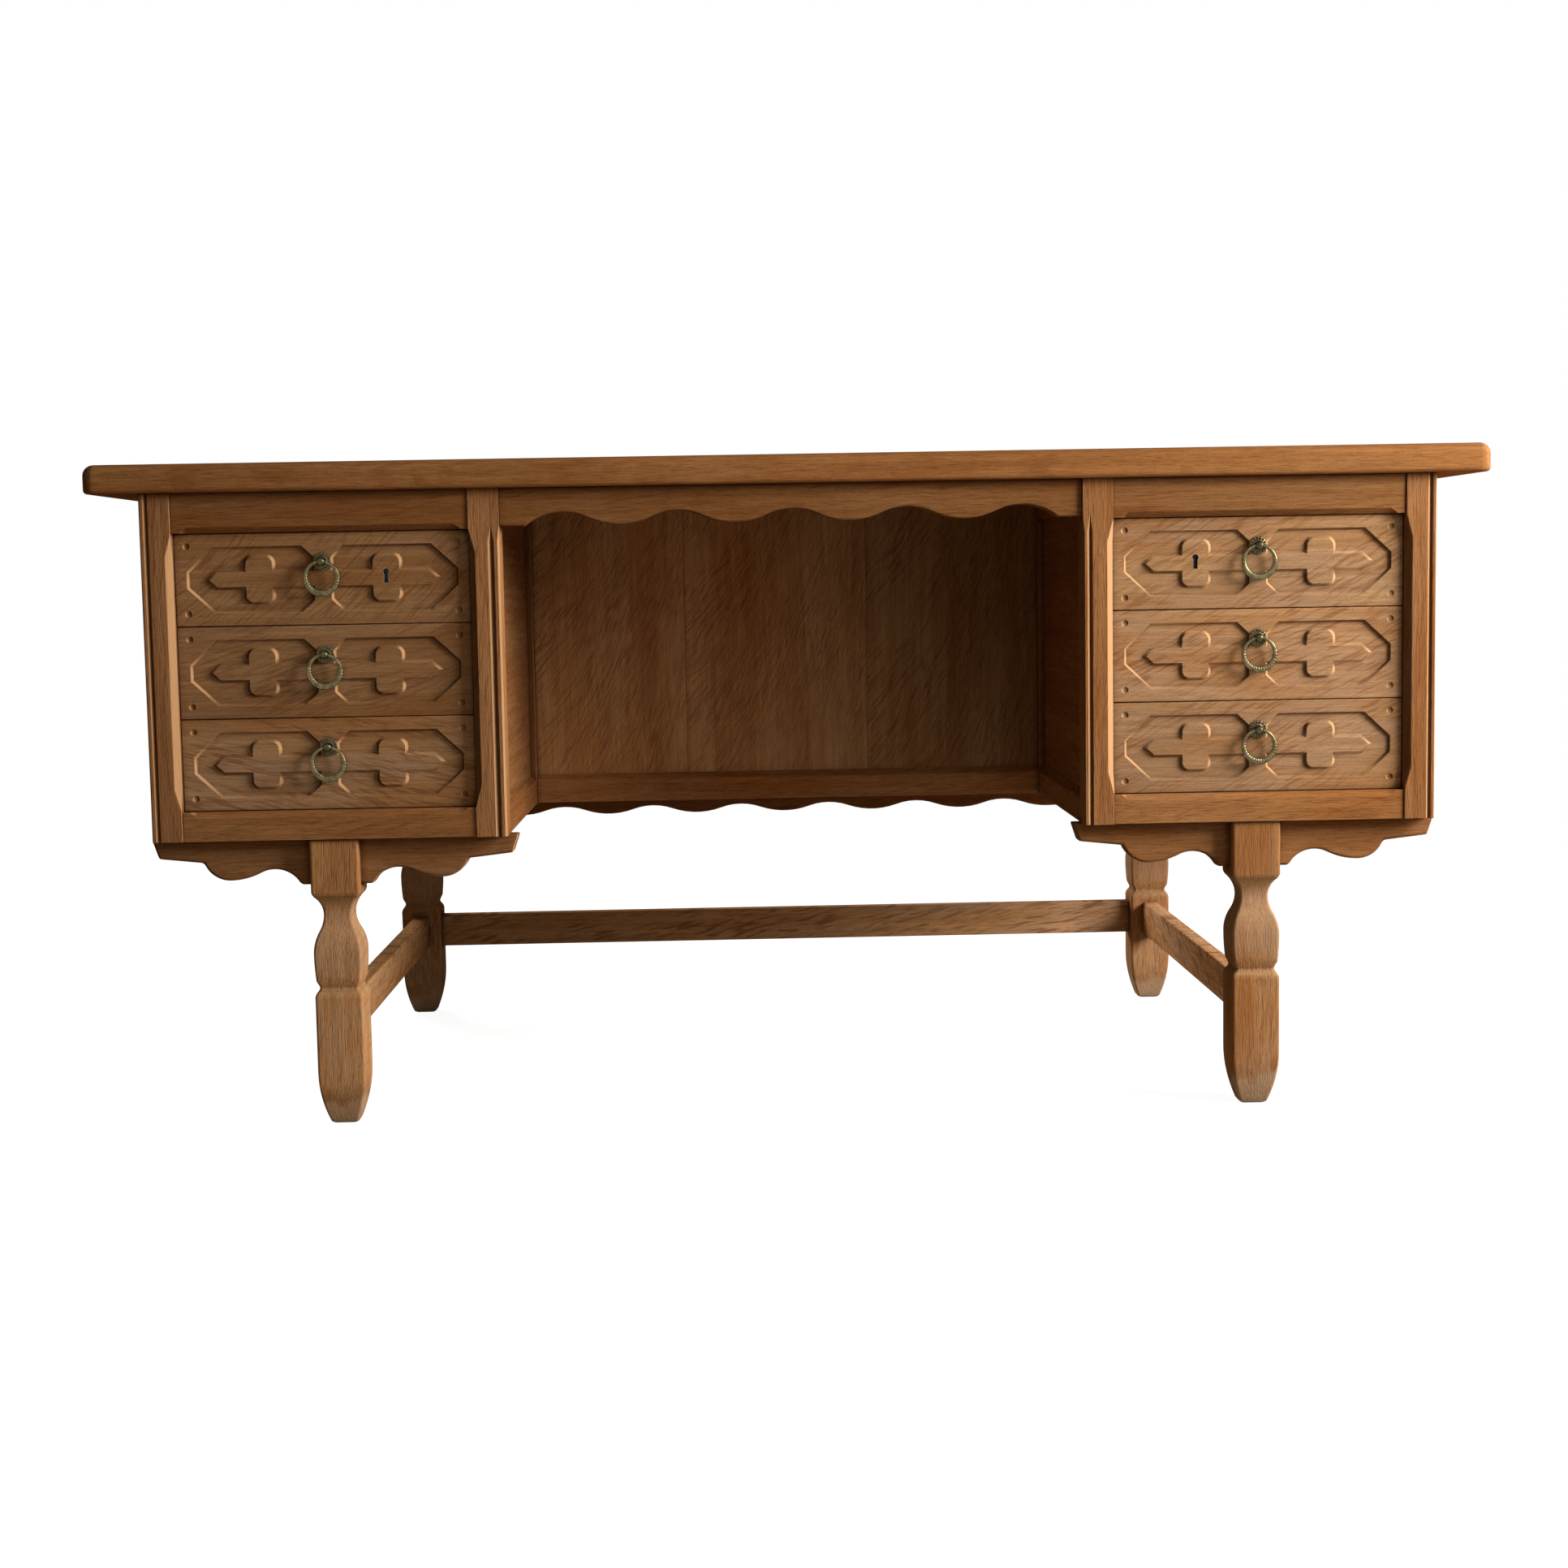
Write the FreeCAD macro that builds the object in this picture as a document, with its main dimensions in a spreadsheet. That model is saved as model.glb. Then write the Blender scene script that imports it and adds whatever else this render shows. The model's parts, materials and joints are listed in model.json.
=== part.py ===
import FreeCAD, Part
import math
import os
from types import SimpleNamespace

import Sketcher
from FreeCAD import Placement, Rotation, Vector

# Twin-pedestal oak writing desk. X runs along the desk, the sitter's side faces -Y, Z is up.
# The origin is on the floor under the middle of the top.

# Driving dimensions in millimetres; names that end in share are plain ratios
SIZES = {
    # Top slab
    "desk_height": 748,
    "top_length": 1560,
    "top_depth": 754,
    "top_thickness": 32,
    "top_corner_radius": 14,
    "top_upper_radius": 12,
    "top_lower_radius": 4.5,
    "top_end_overhang": 59,
    "top_face_overhang": 14,
    # Pedestal carcass
    "pedestal_width": 396.5,
    "pedestal_bottom": 328,
    "post_width": 34,
    "post_depth": 34,
    "post_groove_width": 7.6,
    "post_groove_depth": 3.8,
    "post_bead_width": 6.5,
    "post_bead_round": 2.6,
    "post_groove_run": 18,
    "post_groove_drop": 41,
    "post_chamfer": 7,
    "post_chamfer_run": 26,
    "rail_setback": 2,
    "top_rail_height": 44.5,
    "bottom_rail_height": 33.2,
    "rail_chamfer": 6.5,
    "rail_chamfer_inset": 9,
    "rail_chamfer_run": 8,
    # Frames and panels
    "frame_thickness": 22,
    "frame_rail_flat": 28,
    "frame_stile_width": 36,
    "panel_recess": 8,
    "panel_thickness": 10,
    "panel_tongue": 6,
    "floor_thickness": 12,
    # Kneehole and bookcase
    "apron_setback": 4,
    "apron_thickness": 22,
    "apron_lobe_height": 42,
    "apron_crest_height": 27.7,
    "apron_period_share": 0.1972,
    "apron_crest_share": 0.44,
    "edge_easing": 1.6,
    "modesty_setback": 382,
    "modesty_left_joint_share": 0.3,
    "modesty_right_joint_share": 0.66,
    "bookcase_board": 18,
    "bookcase_shelf_rise": 177,
    "bookcase_rail_height": 30,
    # Bearers under the carcass
    "bearer_thickness": 22,
    "bearer_overhang": 8.25,
    "bearer_end_slant": 7,
    "bearer_end_depth": 21,
    "bearer_end_radius": 4,
    "bearer_shoulder_depth": 26.5,
    "bearer_lobe_offset": 120,
    "bearer_lobe_depth": 47,
    "bearer_lobe_radius": 31,
    "bearer_crest_offset": 70,
    "bearer_crest_depth": 35,
    "bearer_crest_radius": 33,
    "bearer_foot_depth": 53,
    "rear_wave_link_share": 1.2,
    "rear_wave_crest_depth": 36.3,
    "rear_wave_crest_share": 0.45,
    # Legs
    "leg_width": 55,
    "leg_offset": 2,
    "leg_setback": 6,
    "leg_block_height": 64,
    "leg_neck_drop": 23,
    "leg_neck_width": 32.4,
    "leg_cove_share": 0.421,
    "leg_belly_drop": 44,
    "leg_belly_width": 54,
    "leg_belly_radius": 300,
    "leg_shoulder_drop": 31,
    "leg_notch_drop": 9.5,
    "leg_notch_width": 42,
    "leg_step_drop": 12,
    "leg_lower_radius": 12,
    "leg_taper_height": 62,
    "leg_foot_width": 29,
    "leg_foot_bevel": 2.5,
    # Stretchers
    "stretcher_height": 45,
    "stretcher_thickness": 21,
    "stretcher_drop": 4,
    # Drawers
    "drawer_gap": 1.5,
    "drawer_side_gap": 0.8,
    "front_setback": 11,
    "front_easing": 1.5,
    "box_side_gap": 1,
    "box_side_thickness": 12,
    "box_back_thickness": 12,
    "box_end_gap": 58,
    "box_foot_gap": 7,
    "box_head_gap": 12,
    "box_floor_thickness": 5,
    "box_floor_rise": 8,
    "box_floor_groove": 5,
    "runner_height": 10,
    "runner_play": 0.6,
    "runner_bite": 6,
    "runner_tip_gap": 0.5,
    # Carving of the drawer fronts; the shares are of a front's half width and half height
    "carving_depth": 2.4,
    "carving_slope": 42,
    "field_tip_share": 0.921,
    "field_tip_height_share": 0.179,
    "field_corner_share": 0.74,
    "field_height_share": 0.722,
    "field_inner_corner_share": 0.142,
    "field_waist_share": 0.058,
    "field_waist_height_share": 0.463,
    "bar_height_share": 0.161,
    "bar_tip_share": 0.771,
    "bar_shoulder_share": 0.716,
    "cross_offset_share": 0.431,
    "cross_width_share": 0.0906,
    "cross_height_share": 0.4925,
    "cross_corner_radius": 7.3,
    "dimple_diameter": 7.7,
    "dimple_inset": 13.4,
    # Ring pulls
    "rosette_diameter": 20,
    "rosette_thickness": 2.4,
    "rosette_rim": 1.6,
    "neck_diameter": 6,
    "knob_diameter": 10.5,
    "knob_reach": 8.5,
    "ring_hole_diameter": 6,
    "ring_diameter": 41,
    "ring_bore": 30,
    "ring_bore_shift": 2,
    "ring_thickness": 4,
    "ring_chamfer": 1.1,
    # Locks of the top drawers
    "keyhole_diameter": 6.6,
    "keyhole_slot_width": 3,
    "keyhole_slot_length": 14,
    "lock_width": 40,
    "lock_depth": 12,
    "lock_foot": 14,
    "bolt_width": 18,
    "bolt_thickness": 5,
    "bolt_length": 29,
    "bolt_throw": 8,
    "lock_play": 0.3,
}

SIDES = {"left": -1, "right": 1}
LEVELS = {"top": 2, "middle": 1, "bottom": 0}
DRAWERS_PER_PEDESTAL = len(LEVELS)
HANDS = (-1, 1)
HALF_RIGHT_ANGLE = 45
APRON_HALF_WAVES = 4
REAR_HALF_WAVES = 6
GROOVE_TIP_SHARE = 0.02
SAME = 1e-6


class Size:
    """A size of the desk: its text for the document's expressions, and its present value."""

    def __init__(self, text, value):
        self.text = text
        self.value = value

    def __add__(self, other):
        other = as_size(other)
        return Size(f"({self.text} + {other.text})", self.value + other.value)

    def __radd__(self, other):
        return as_size(other) + self

    def __sub__(self, other):
        other = as_size(other)
        return Size(f"({self.text} - {other.text})", self.value - other.value)

    def __rsub__(self, other):
        return as_size(other) - self

    def __mul__(self, other):
        other = as_size(other)
        return Size(f"{self.text} * {other.text}", self.value * other.value)

    def __rmul__(self, other):
        return as_size(other) * self

    def __truediv__(self, other):
        other = as_size(other)
        return Size(f"{self.text} / ({other.text})", self.value / other.value)

    def __neg__(self):
        return Size(f"(0 - {self.text})", -self.value)


def as_size(item):
    """Takes a count, a sign or a zero as a size."""
    if isinstance(item, Size):
        return item
    return Size(f"({item})", item)


def root(item):
    return Size(f"sqrt({item.text})", math.sqrt(item.value))


document = FreeCAD.newDocument("WritingDesk")
sheet = document.addObject("Spreadsheet::Sheet", "Sizes")
for row, (alias, number) in enumerate(SIZES.items(), start=1):
    sheet.set(f"A{row}", alias)
    sheet.set(f"B{row}", str(number))
    sheet.setAlias(f"B{row}", alias)
document.recompute()
size = SimpleNamespace(**{alias: Size(f"Sizes.{alias}", float(getattr(sheet, alias))) for alias in SIZES})
nodes = []


def node(item):
    """Marks an object as a sub-part that is written out under its label."""
    nodes.append(item)
    return item


def bind(item, name, amount):
    item.setExpression(name, as_size(amount).text)


def new_body(label):
    body = document.addObject("PartDesign::Body", label)
    body.Label = label
    return body


def copy_of(pattern, label):
    """A body that starts from the finished shape of another one."""
    body = new_body(label)
    body.BaseFeature = pattern
    return body


def new_sketch(body, name, role, start=0, turn=None):
    """A sketch parallel to one of the body's own planes, start away from it along its normal."""
    sketch = body.newObject("Sketcher::SketchObject", name)
    plane = next(item for item in body.Origin.OriginFeatures if item.Role == role)
    sketch.AttachmentSupport = (plane, [""])
    sketch.MapMode = "FlatFace"
    if turn is not None:
        axis, angle = turn
        sketch.AttachmentOffset = Placement(Vector(), Rotation(axis, angle))
    bind(sketch, "AttachmentOffset.Base.z", start)
    return sketch


def arc_between(begin, end, radius, turn):
    """The shorter arc from begin to end: turn 1 bends anticlockwise, -1 clockwise."""
    chord = end - begin
    rise = math.sqrt(radius**2 - (chord.Length / 2) ** 2)
    left = Vector(-chord.y, chord.x, 0).normalize()
    centre = (begin + end) / 2 + left * (turn * rise)
    first, last = (begin, end) if turn > 0 else (end, begin)
    angles = [math.atan2(place.y - centre.y, place.x - centre.x) for place in (first, last)]
    if angles[1] < angles[0]:
        angles[1] += 2 * math.pi
    return Part.ArcOfCircle(Part.Circle(centre, Vector(0, 0, 1), radius), angles[0], angles[1])


def draw(sketch, corners):
    """Adds a closed outline. A corner is (x, y), or (x, y, radius, turn) where an arc leads to it."""
    first = sketch.GeometryCount
    places = [(as_size(corner[0]), as_size(corner[1])) for corner in corners]
    geometry = []
    ends = []
    rules = []
    texts = []
    for index, corner in enumerate(corners):
        begin = Vector(places[index - 1][0].value, places[index - 1][1].value, 0)
        end = Vector(places[index][0].value, places[index][1].value, 0)
        if len(corner) == 2:
            geometry.append(Part.LineSegment(begin, end))
            ends.append((1, 2))
            continue
        radius, turn = as_size(corner[2]), corner[3]
        geometry.append(arc_between(begin, end, radius.value, turn))
        ends.append((1, 2) if turn > 0 else (2, 1))
        rules.append(Sketcher.Constraint("Radius", first + index, radius.value))
        texts.append(radius.text)
    for index, place in enumerate(places):
        following = (index + 1) % len(places)
        for axis, distance in zip("XY", place):
            rules.append(
                Sketcher.Constraint("Distance" + axis, -1, 1, first + index, ends[index][1], distance.value)
            )
            texts.append(distance.text)
        rules.append(
            Sketcher.Constraint(
                "Coincident", first + index, ends[index][1], first + following, ends[following][0]
            )
        )
        texts.append(None)
    sketch.addGeometry(geometry)
    for number, text in zip(sketch.addConstraint(rules), texts):
        if text is not None:
            sketch.setExpression(f"Constraints[{number}]", text)


def draw_circle(sketch, across, up, radius):
    number = sketch.addGeometry(
        Part.Circle(Vector(as_size(across).value, as_size(up).value, 0), Vector(0, 0, 1), radius.value)
    )
    rules = [Sketcher.Constraint("Radius", number, radius.value)]
    texts = [radius.text]
    for axis, distance in zip("XY", (as_size(across), as_size(up))):
        rules.append(Sketcher.Constraint("Distance" + axis, -1, 1, number, 3, distance.value))
        texts.append(distance.text)
    for rule, text in zip(sketch.addConstraint(rules), texts):
        sketch.setExpression(f"Constraints[{rule}]", text)


def start_plane(role, low, high):
    """Where the sketch lies so that a pad along its normal fills from low to high."""
    return -high if role == "XZ_Plane" else low


def extrude(body, name, role, low, high, corners):
    """Pads a closed outline from low to high along the axis that the plane leaves out."""
    sketch = new_sketch(body, f"{name}_outline", role, start_plane(role, low, high))
    draw(sketch, corners)
    pad = body.newObject("PartDesign::Pad", name)
    pad.Profile = sketch
    bind(pad, "Length", high - low)
    return pad


def cut(body, name, role, low, high, corners):
    """Cuts a closed outline out of the body from low to high."""
    sketch = new_sketch(body, f"{name}_outline", role, start_plane(role, low, high))
    draw(sketch, corners)
    pocket = body.newObject("PartDesign::Pocket", name)
    pocket.Profile = sketch
    pocket.Reversed = True
    bind(pocket, "Length", high - low)
    return pocket


def rectangle(left, right, low, high):
    return [(left, low), (right, low), (right, high), (left, high)]


def dress(body, name, kind, amount, chosen):
    """Fillets or chamfers the chosen edges of the body so far."""
    document.recompute()
    base = body.Tip
    edges = [f"Edge{number}" for number, edge in enumerate(base.Shape.Edges, start=1) if chosen(edge)]
    feature = body.newObject(f"PartDesign::{kind}", name)
    feature.Base = (base, edges)
    bind(feature, "Radius" if kind == "Fillet" else "Size", amount)
    return feature


def lies_at(axis, place):
    """Chooses edges whose ends and middle all lie in one plane."""

    def chosen(edge):
        middle = edge.valueAt((edge.FirstParameter + edge.LastParameter) / 2)
        points = [vertex.Point for vertex in edge.Vertexes] + [middle]
        return all(abs(getattr(point, axis) - place.value) < SAME for point in points)

    return chosen


def runs_along(axis):
    """Chooses straight edges parallel to an axis."""

    def chosen(edge):
        start, end = edge.Vertexes[0].Point, edge.Vertexes[-1].Point
        return abs(abs(getattr(end - start, axis)) - edge.Length) < SAME and edge.Length > SAME

    return chosen


def board(label, x_range, y_range, z_range):
    """A plain board between two corners."""
    box = document.addObject("Part::Box", label)
    for side, axis, (low, high) in zip(
        ("Length", "Width", "Height"), "xyz", (x_range, y_range, z_range)
    ):
        bind(box, side, high - low)
        bind(box, f"Placement.Base.{axis}", low)
    return box


def mirrored_range(side, near, far):
    """The range from near to far on one side of the middle, low end first."""
    return (near, far) if side > 0 else (-far, -near)


def group(label, pieces):
    """Several like pieces that share one node as separate solids."""
    compound = document.addObject("Part::Compound", label)
    compound.Label = label
    compound.Links = pieces
    return compound


def stopped_chamfer(body, name, corner, low, high, run, leg, material):
    """A chamfer up a post's front edge that slopes out to nothing at both ends.

    material is 1 where the wood lies towards +X of the edge and -1 where it lies towards -X.
    """
    angle = HALF_RIGHT_ANGLE if material > 0 else 3 * HALF_RIGHT_ANGLE
    sketch = new_sketch(body, f"{name}_outline", "XZ_Plane", -corner[1], (Vector(0, 1, 0), angle))
    bind(sketch, "AttachmentOffset.Base.x", corner[0])
    depth = leg / root(as_size(2))
    outside = -leg
    draw(
        sketch,
        [(outside, low), (0, low), (depth, low + run), (depth, high - run), (0, high), (outside, high)],
    )
    pocket = body.newObject("PartDesign::Pocket", name)
    pocket.Profile = sketch
    pocket.Type = "ThroughAll"
    pocket.SideType = "Symmetric"
    return pocket


def stopped_rail_chamfer(body, name, edge, left, right, run, leg, upward):
    """The same chamfer along a rail's front edge; upward is 1 where the wood lies above the edge."""
    sketch = new_sketch(
        body, f"{name}_outline", "XY_Plane", edge[1], (Vector(1, 0, 0), HALF_RIGHT_ANGLE * upward)
    )
    bind(sketch, "AttachmentOffset.Base.y", edge[0])
    depth = leg / root(as_size(2))
    outside = -leg
    draw(
        sketch,
        [(left, outside), (right, outside), (right, 0), (right - run, depth), (left + run, depth), (left, 0)],
    )
    pocket = body.newObject("PartDesign::Pocket", name)
    pocket.Profile = sketch
    pocket.Type = "ThroughAll"
    pocket.SideType = "Symmetric"
    return pocket


# Places that the sizes give
pedestal_top = size.desk_height - size.top_thickness
pedestal_outer = size.top_length / 2 - size.top_end_overhang
pedestal_inner = pedestal_outer - size.pedestal_width
kneehole_width = pedestal_inner * 2
pedestal_face = size.top_depth / 2 - size.top_face_overhang
pedestal_centre = (pedestal_inner + pedestal_outer) / 2
opening_inner = pedestal_inner + size.post_width
opening_outer = pedestal_outer - size.post_width
opening_width = opening_outer - opening_inner
post_back = pedestal_face - size.post_depth
rail_face = pedestal_face - size.rail_setback
drawer_zone_top = pedestal_top - size.top_rail_height
drawer_zone_bottom = size.pedestal_bottom + size.bottom_rail_height
drawer_pitch = (drawer_zone_top - drawer_zone_bottom) / DRAWERS_PER_PEDESTAL
leg_line = pedestal_centre - size.leg_offset
leg_depth_line = pedestal_face - size.leg_setback - size.leg_width / 2
leg_block_bottom = size.pedestal_bottom - size.leg_block_height
leg_neck = leg_block_bottom - size.leg_neck_drop
leg_belly = leg_neck - size.leg_belly_drop
leg_shoulder = leg_belly - size.leg_shoulder_drop
leg_notch = leg_shoulder - size.leg_notch_drop
leg_lower_top = leg_notch - size.leg_step_drop
frame_rail_height = size.frame_rail_flat + size.panel_recess
panel_bottom = size.pedestal_bottom + frame_rail_height - size.panel_tongue
panel_top = pedestal_top - frame_rail_height + size.panel_tongue
outer_frame_face = pedestal_outer - size.rail_setback
panel_back_depth = size.panel_recess + size.panel_thickness
modesty_face = size.modesty_setback - pedestal_face
modesty_back = modesty_face + panel_back_depth
front_face = pedestal_face - size.front_setback
front_height = drawer_pitch - size.drawer_gap
front_half_width = opening_width / 2 - size.drawer_side_gap
box_half_width = opening_width / 2 - size.box_side_gap
cross_offset = front_half_width * size.cross_offset_share


def wave(first, step, count, high, low, crest_radius, lobe_radius, starts_high):
    """Corners of a scalloped edge towards +X: each arc ends where it meets the next one."""
    share = crest_radius / (crest_radius + lobe_radius)
    corners = []
    for number in range(count):
        crest_here = (number % 2 == 0) == starts_high
        here = first + step * number
        along = share if crest_here else 1 - share
        level = high - (high - low) * share
        corners.append(
            (here + step * along, level, crest_radius if crest_here else lobe_radius, -1 if crest_here else 1)
        )
    return corners


def wave_radius(step, swing):
    """The sum of the two radii that let arcs step apart and swing high meet in one tangent."""
    return (step * step + swing * swing) / (swing * 2)


def reach(radius, sag):
    """How far from its lowest point an arc has risen by sag."""
    return root(radius * sag * 2 - sag * sag)


def desk_top():
    body = new_body("desk_top")
    half_x, half_y, corner = size.top_length / 2, size.top_depth / 2, size.top_corner_radius
    extrude(
        body,
        "desk_top_slab",
        "XY_Plane",
        pedestal_top,
        size.desk_height,
        [
            (-half_x, corner - half_y),
            (corner - half_x, -half_y, corner, 1),
            (half_x - corner, -half_y),
            (half_x, corner - half_y, corner, 1),
            (half_x, half_y - corner),
            (half_x - corner, half_y, corner, 1),
            (corner - half_x, half_y),
            (-half_x, half_y - corner, corner, 1),
        ],
    )
    dress(body, "desk_top_upper_round", "Fillet", size.top_upper_radius, lies_at("z", size.desk_height))
    dress(body, "desk_top_lower_round", "Fillet", size.top_lower_radius, lies_at("z", pedestal_top))
    node(body)


def post_section(side, drawer_x, open_x, grooved):
    """Plan of a front post, from its drawer side round to the side away from the drawers."""
    inward = 1 if drawer_x.value > open_x.value else -1
    front, back = -pedestal_face, -post_back
    if not grooved:
        plan = [(drawer_x, back), (drawer_x, front), (open_x, front), (open_x, back)]
        return [(side * across, deep) for across, deep in plan]
    bead = open_x + inward * size.post_bead_width
    groove = bead + inward * size.post_groove_width
    bottom = (bead + groove) / 2
    soft = size.post_bead_round
    plan = [
        (drawer_x, back),
        (drawer_x, front),
        (groove, front),
        (bottom, front + size.post_groove_depth),
        (bead, front),
        (open_x + inward * soft, front),
        (open_x, front + soft, soft, -side * inward),
        (open_x, back),
    ]
    return [(side * corner[0],) + corner[1:] for corner in plan]


def outer_front_post(word, side):
    label = f"{word}_outer_front_post"
    body = new_body(label)
    extrude(
        body,
        f"{label}_blank",
        "XY_Plane",
        size.pedestal_bottom,
        pedestal_top,
        post_section(side, opening_outer, pedestal_outer, True),
    )
    stopped_chamfer(
        body,
        f"{label}_chamfer",
        (side * opening_outer, -pedestal_face),
        drawer_zone_bottom,
        drawer_zone_top,
        size.post_chamfer_run,
        size.post_chamfer,
        side,
    )
    node(body)


def inner_front_post(word, side):
    """Its groove and bead start in a point under the apron and run out at the foot."""
    label = f"{word}_inner_front_post"
    body = new_body(label)
    extrude(
        body,
        f"{label}_blank",
        "XY_Plane",
        size.pedestal_bottom,
        pedestal_top,
        post_section(side, opening_inner, pedestal_inner, False),
    )
    stopped_chamfer(
        body,
        f"{label}_chamfer",
        (side * opening_inner, -pedestal_face),
        drawer_zone_bottom,
        drawer_zone_top,
        size.post_chamfer_run,
        size.post_chamfer,
        -side,
    )
    tip = pedestal_top - size.post_groove_drop
    stopped_chamfer(
        body,
        f"{label}_bead",
        (side * pedestal_inner, -pedestal_face),
        size.pedestal_bottom - size.post_groove_run,
        tip,
        size.post_groove_run,
        size.post_bead_round,
        side,
    )
    middle = pedestal_inner + size.post_bead_width + size.post_groove_width / 2
    stopped_groove(body, label, side * middle, tip)
    node(body)


def stopped_groove(body, label, middle, tip):
    """A V groove down the post's face that sinks in from a point at its top."""
    full = tip - size.post_groove_run
    sketch = new_sketch(body, f"{label}_groove_full", "XY_Plane", full)
    draw(sketch, groove_section(middle, 1))
    point = new_sketch(body, f"{label}_groove_tip", "XY_Plane", tip)
    draw(point, groove_section(middle, GROOVE_TIP_SHARE))
    loft = body.newObject("PartDesign::SubtractiveLoft", f"{label}_groove_run")
    loft.Profile = sketch
    loft.Sections = [point]
    loft.Ruled = True
    cut(body, f"{label}_groove", "XY_Plane", size.pedestal_bottom, full, groove_section(middle, 1))


def groove_section(middle, share):
    """A triangle with its point in the wood; share shrinks it towards the post's face."""
    front = -pedestal_face
    wall = size.post_groove_width / 2 * share
    return [(middle - wall, front), (middle + wall, front), (middle, front + size.post_groove_depth * share)]


def rear_posts(word, side):
    posts = [
        board(
            f"{word}_rear_post_{name}",
            mirrored_range(side, near, near + size.post_width),
            (post_back, pedestal_face),
            (size.pedestal_bottom, pedestal_top),
        )
        for name, near in (("inner", pedestal_inner), ("outer", opening_outer))
    ]
    node(group(f"{word}_rear_posts", posts))


def front_rails(word, side):
    """The rail over the drawers, with the mortise for the lock's bolt, and the rail under them."""
    left, right = mirrored_range(side, opening_inner, opening_outer)
    inset = size.rail_chamfer_inset
    top = new_body(f"{word}_top_rail")
    plan = rectangle(left, right, drawer_zone_top, pedestal_top)
    extrude(top, f"{word}_top_rail_blank", "XZ_Plane", -rail_face, -post_back, plan)
    stopped_rail_chamfer(
        top,
        f"{word}_top_rail_chamfer",
        (-rail_face, drawer_zone_top),
        left + inset,
        right - inset,
        size.rail_chamfer_run,
        size.rail_chamfer,
        1,
    )
    play = size.lock_play
    keyhole = side * (pedestal_centre - cross_offset)
    bolt_back = bolt_middle + size.bolt_thickness / 2
    bolt_front = bolt_middle - size.bolt_thickness / 2
    cut(
        top,
        f"{word}_top_rail_mortise",
        "XY_Plane",
        drawer_zone_top,
        drawer_zone_top + size.bolt_throw + play,
        rectangle(
            keyhole - size.bolt_width / 2 - play,
            keyhole + size.bolt_width / 2 + play,
            bolt_front - play,
            bolt_back + play,
        ),
    )
    node(top)
    bottom = new_body(f"{word}_bottom_rail")
    plan = rectangle(left, right, size.pedestal_bottom, drawer_zone_bottom)
    extrude(bottom, f"{word}_bottom_rail_blank", "XZ_Plane", -rail_face, -post_back, plan)
    stopped_rail_chamfer(
        bottom,
        f"{word}_bottom_rail_chamfer",
        (-rail_face, drawer_zone_bottom),
        left + inset,
        right - inset,
        size.rail_chamfer_run,
        size.rail_chamfer,
        -1,
    )
    node(bottom)


def frame_section(face, inward, edge, towards, depth):
    """Section of a frame rail: flat face, bevel down to the panel and a groove for the panel's edge."""
    flat, bevel = size.frame_rail_flat, size.panel_recess
    lip = flat + bevel
    slot = lip - size.panel_tongue
    back = bevel + size.panel_thickness
    section = [(0, 0), (0, flat), (bevel, lip), (bevel, slot), (back, slot), (back, lip), (depth, lip), (depth, 0)]
    return [(face + inward * across, edge + towards * up) for across, up in section]


def frame_rail(label, role, low, high, section):
    body = new_body(label)
    extrude(body, f"{label}_blank", role, low, high, section)
    return body


def side_frames(word, side):
    """Rails and panels of the outer side and of the kneehole side, and the stile behind the kneehole."""
    rails = []
    panels = []
    for name, face, inward in (("outer", outer_frame_face, -1), ("inner", pedestal_inner, 1)):
        for level, edge, towards in (("lower", size.pedestal_bottom, 1), ("upper", pedestal_top, -1)):
            section = frame_section(side * face, side * inward, edge, towards, size.frame_thickness)
            label = f"{word}_{name}_side_{level}_rail"
            rails.append(frame_rail(label, "XZ_Plane", -post_back, post_back, section))
        near = face + inward * size.panel_recess
        far = near + inward * size.panel_thickness
        x_range = mirrored_range(side, *sorted((near, far), key=lambda place: place.value))
        spans = [("", -post_back, post_back)]
        if name == "inner":
            stile_back = modesty_face + size.frame_stile_width
            spans = [("_front", -post_back, modesty_face), ("_rear", stile_back, post_back)]
        for part, low, high in spans:
            panels.append(
                board(f"{word}_{name}_side_panel{part}", x_range, (low, high), (panel_bottom, panel_top))
            )
    stile = board(
        f"{word}_side_stile",
        mirrored_range(side, pedestal_inner, pedestal_inner + panel_back_depth),
        (modesty_face, modesty_face + size.frame_stile_width),
        (size.pedestal_bottom + frame_rail_height, pedestal_top - frame_rail_height),
    )
    node(group(f"{word}_side_rails", rails + [stile]))
    node(group(f"{word}_side_panels", panels))


def back_frame(word, side):
    left, right = mirrored_range(side, opening_inner, opening_outer)
    pieces = []
    for level, edge, towards in (("lower", size.pedestal_bottom, 1), ("upper", pedestal_top, -1)):
        section = frame_section(rail_face, -1, edge, towards, rail_face - post_back)
        pieces.append(frame_rail(f"{word}_back_{level}_rail", "YZ_Plane", left, right, section))
    back = rail_face - size.panel_recess
    pieces.append(
        board(
            f"{word}_back_panel",
            (left, right),
            (back - size.panel_thickness, back),
            (panel_bottom, panel_top),
        )
    )
    node(group(f"{word}_back_frame", pieces))


def pedestal_floors():
    inner = pedestal_inner + size.frame_thickness
    outer = outer_frame_face - size.frame_thickness
    node(
        group(
            "pedestal_floors",
            [
                board(
                    f"{word}_pedestal_floor",
                    mirrored_range(side, inner, outer),
                    (-post_back, post_back),
                    (size.pedestal_bottom, size.pedestal_bottom + size.floor_thickness),
                )
                for word, side in SIDES.items()
            ],
        )
    )


def drawer_height(level):
    """Height of the middle of a drawer over the floor."""
    return drawer_zone_bottom + drawer_pitch * level + drawer_pitch / 2


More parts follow.
